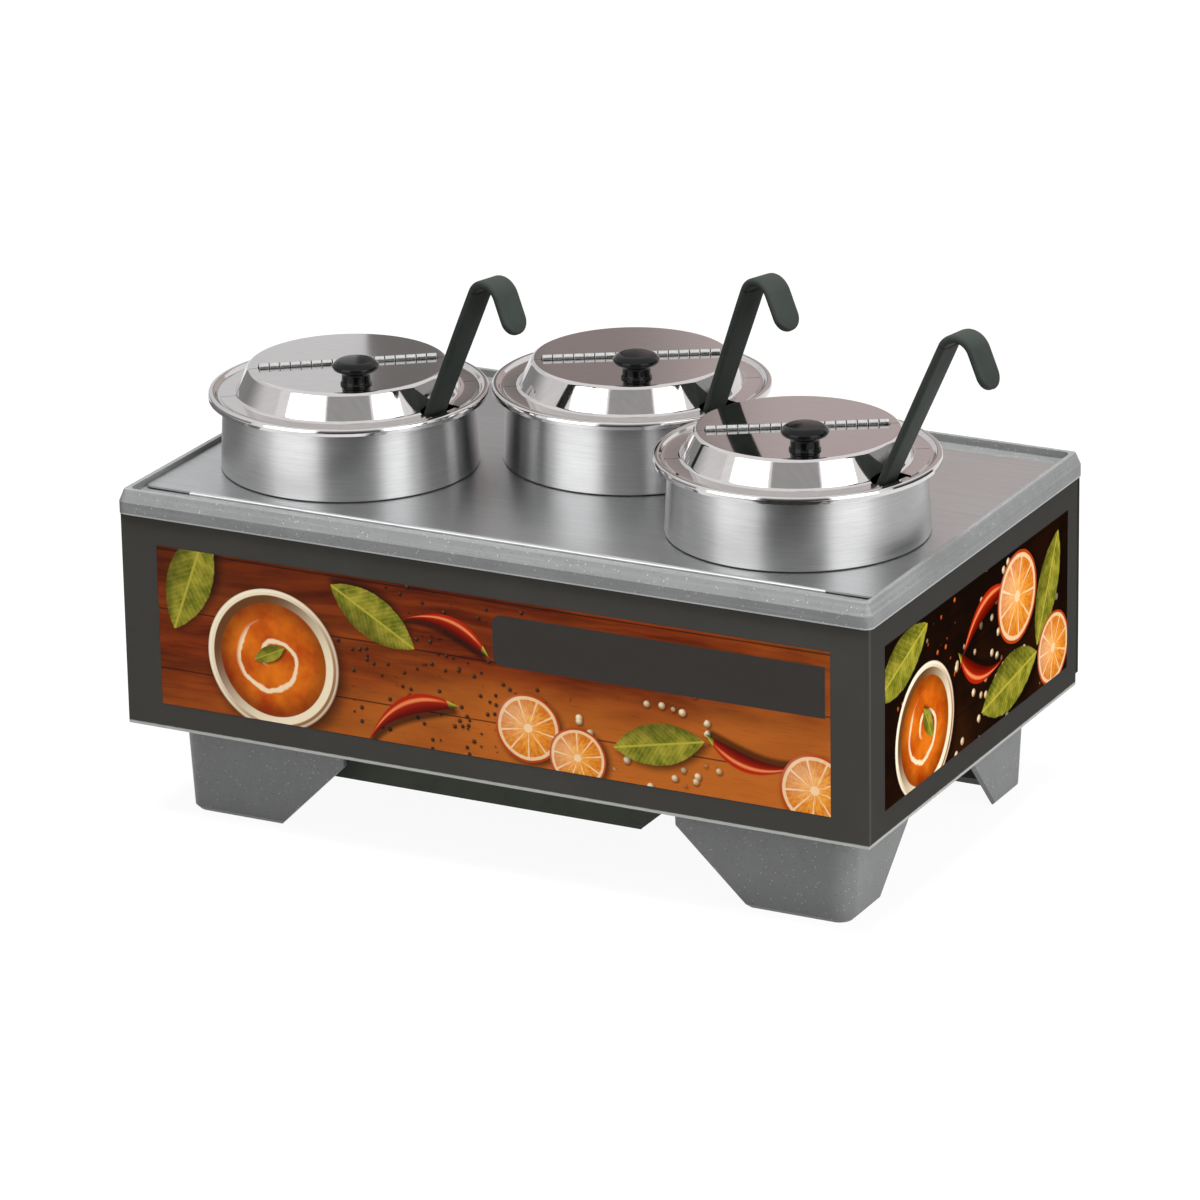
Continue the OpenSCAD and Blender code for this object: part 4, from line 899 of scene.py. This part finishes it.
def makeFloor(s):
    bpy.ops.mesh.primitive_plane_add(size=s["floorSize"])
    floor = bpy.context.object
    floor.name = "studioFloor"
    mat, w, feed, place, _ = newMaterial("studioFloor", Roughness=0.9, Specular_IOR_Level=0.0)
    paper = w.noise(place, 60, 2)
    feed(Base_Color=w.mix(paper * 0.15, rgba(*s["floor"]), rgba(*s["floorMottle"])))
    tree = mat.node_tree
    glow = w.node("ShaderNodeEmission", None, {"Color": (1, 1, 1, 1), "Strength": s["floorGlow"]})
    shader = next(n for n in tree.nodes if n.type == "BSDF_PRINCIPLED")
    output = next(n for n in tree.nodes if n.type == "OUTPUT_MATERIAL")
    blend = w.node("ShaderNodeMixShader", None, {0: seenRays(w) * s["floorShare"],
                                               1: Wire(tree, shader.outputs[0]), 2: glow})
    tree.links.new(blend.socket, output.inputs[0])
    dress(floor, mat)


def around(azimuth, reach, height):  # a place round the object; azimuth 0 is in front of the serving side
    a = math.radians(azimuth)
    return Vector((math.sin(a) * reach, -math.cos(a) * reach, height))


# a glowing card that only reflections show; lean 90 stands it upright
def makeCard(name, azimuth, reach, height, size, paint, strength=1.0, lean=90):
    mesh = bpy.data.meshes.new(name)
    w, h = size[0] / 2, size[1] / 2
    mesh.from_pydata([(-w, -h, 0), (w, -h, 0), (w, h, 0), (-w, h, 0)], [], [(0, 1, 2, 3)])
    card = bpy.data.objects.new(name, mesh)
    card.location = around(azimuth, reach, height)
    card.rotation_euler = (math.radians(lean), 0, math.radians(azimuth))
    scene.collection.objects.link(card)
    mat, wire, feed, spot, parts = newMaterial(name, Specular_IOR_Level=0.0, Emission_Strength=strength,
                                               Base_Color=(0, 0, 0, 1))
    feed(Emission_Color=paint(wire, spot, *parts))
    dress(card, mat)
    card.visible_camera = card.visible_shadow = card.visible_diffuse = False


def makeLamp(name, place, size, power, aim):
    data = bpy.data.lights.new(name, "AREA")
    data.shape, data.size, data.size_y = "RECTANGLE", size[0], size[1]
    data.energy = power
    lamp = bpy.data.objects.new(name, data)
    lamp.location = place
    lamp.visible_glossy = False
    lamp.rotation_euler = (Vector(aim) - Vector(place)).to_track_quat("-Z", "Y").to_euler()
    scene.collection.objects.link(lamp)


def makeWorld(s):
    world = bpy.data.worlds.new("studioWorld")
    world.use_nodes = True
    scene.world = world
    tree = world.node_tree
    back = next(n for n in tree.nodes if n.type == "BACKGROUND")
    seen = seenRays(Wire(tree))
    back.inputs["Color"].default_value = (1, 1, 1, 1)
    tree.links.new((s["worldLight"] + seen * (1 - s["worldLight"])).socket, back.inputs["Strength"])


def plainPaint(level, other):  # an even grey with a soft mottle
    def paint(w, spot, x, y, z):
        return w.mix(w.noise(spot, 2.2, 2), rgba(level, level, level), rgba(other, other, other))
    return paint


def splitPaint(low, high, start, end):  # one grey below and another above, with a soft mottle
    def paint(w, spot, x, y, z):
        level = w.mix(y.step(start, end), rgba(low, low, low), rgba(high, high, high))
        return w.mix(w.noise(spot, 2.2, 2) * 0.08, level, (0, 0, 0, 1))
    return paint


def backPaint(w, spot, x, y, z):  # warm grey, deeper from the middle on; then a dark strip and a pale flat
    warm = w.mix(x.step(-0.2, 0.0), rgba(204, 191, 189), rgba(156, 145, 143))
    warm = w.mix(w.noise(spot, 1.6, 2) * 0.2, warm, rgba(150, 140, 138))
    pale = x.step(0.222, 0.226)
    warm = w.mix(x.step(0.074, 0.14) * (1 - pale) * 0.9, warm, rgba(122, 121, 120))
    return w.mix(pale, warm, rgba(226, 227, 228))


reach, tall = studio["reach"], studio["tall"]
high = tall / 2 + 0.05
makeWorld(studio)
makeFloor(studio)
for name, azimuth, wide, power in (("key", -23, 1.6, "keyPower"), ("fill", 71, 1.3, "fillPower")):
    makeLamp(name + "Lamp", around(azimuth, reach, high), (wide, tall), studio[power], (0, 0, tall / 2))
    makeCard(name + "Card", azimuth, reach, high, (wide, tall), plainPaint(255, 246), studio["lampGlow"])
makeLamp("topLamp", (0.1, -0.45, 2.6), studio["wide"], studio["topPower"], studio["aim"])
makeLamp("backLamp", around(200, reach + 0.6, 1.5), studio["wide"], studio["backPower"], studio["aim"])
makeCard("frontCard", 26, reach + 0.3, 1.2, (2.3, 2.4), splitPaint(66, 178, -0.6, -0.1))
makeCard("leftCard", -90, reach, 0.9, (2.9, 1.8), splitPaint(150, 240, -0.4, 0.1))
makeCard("rightCard", 125, reach, 0.8, (1.9, 1.6), splitPaint(74, 168, -0.35, 0.0))
for name, azimuth, level in (("frontMat", 22, 56), ("leftMat", -95, 132)):  # for upright walls to reflect
    makeCard(name, azimuth, studio["matReach"], studio["matUp"], studio["matSize"],
             plainPaint(level, level * 0.9), lean=0)
makeCard("backCard", 207.5, reach, 1.03, (3.0, 1.5), backPaint)
print("studio lit")
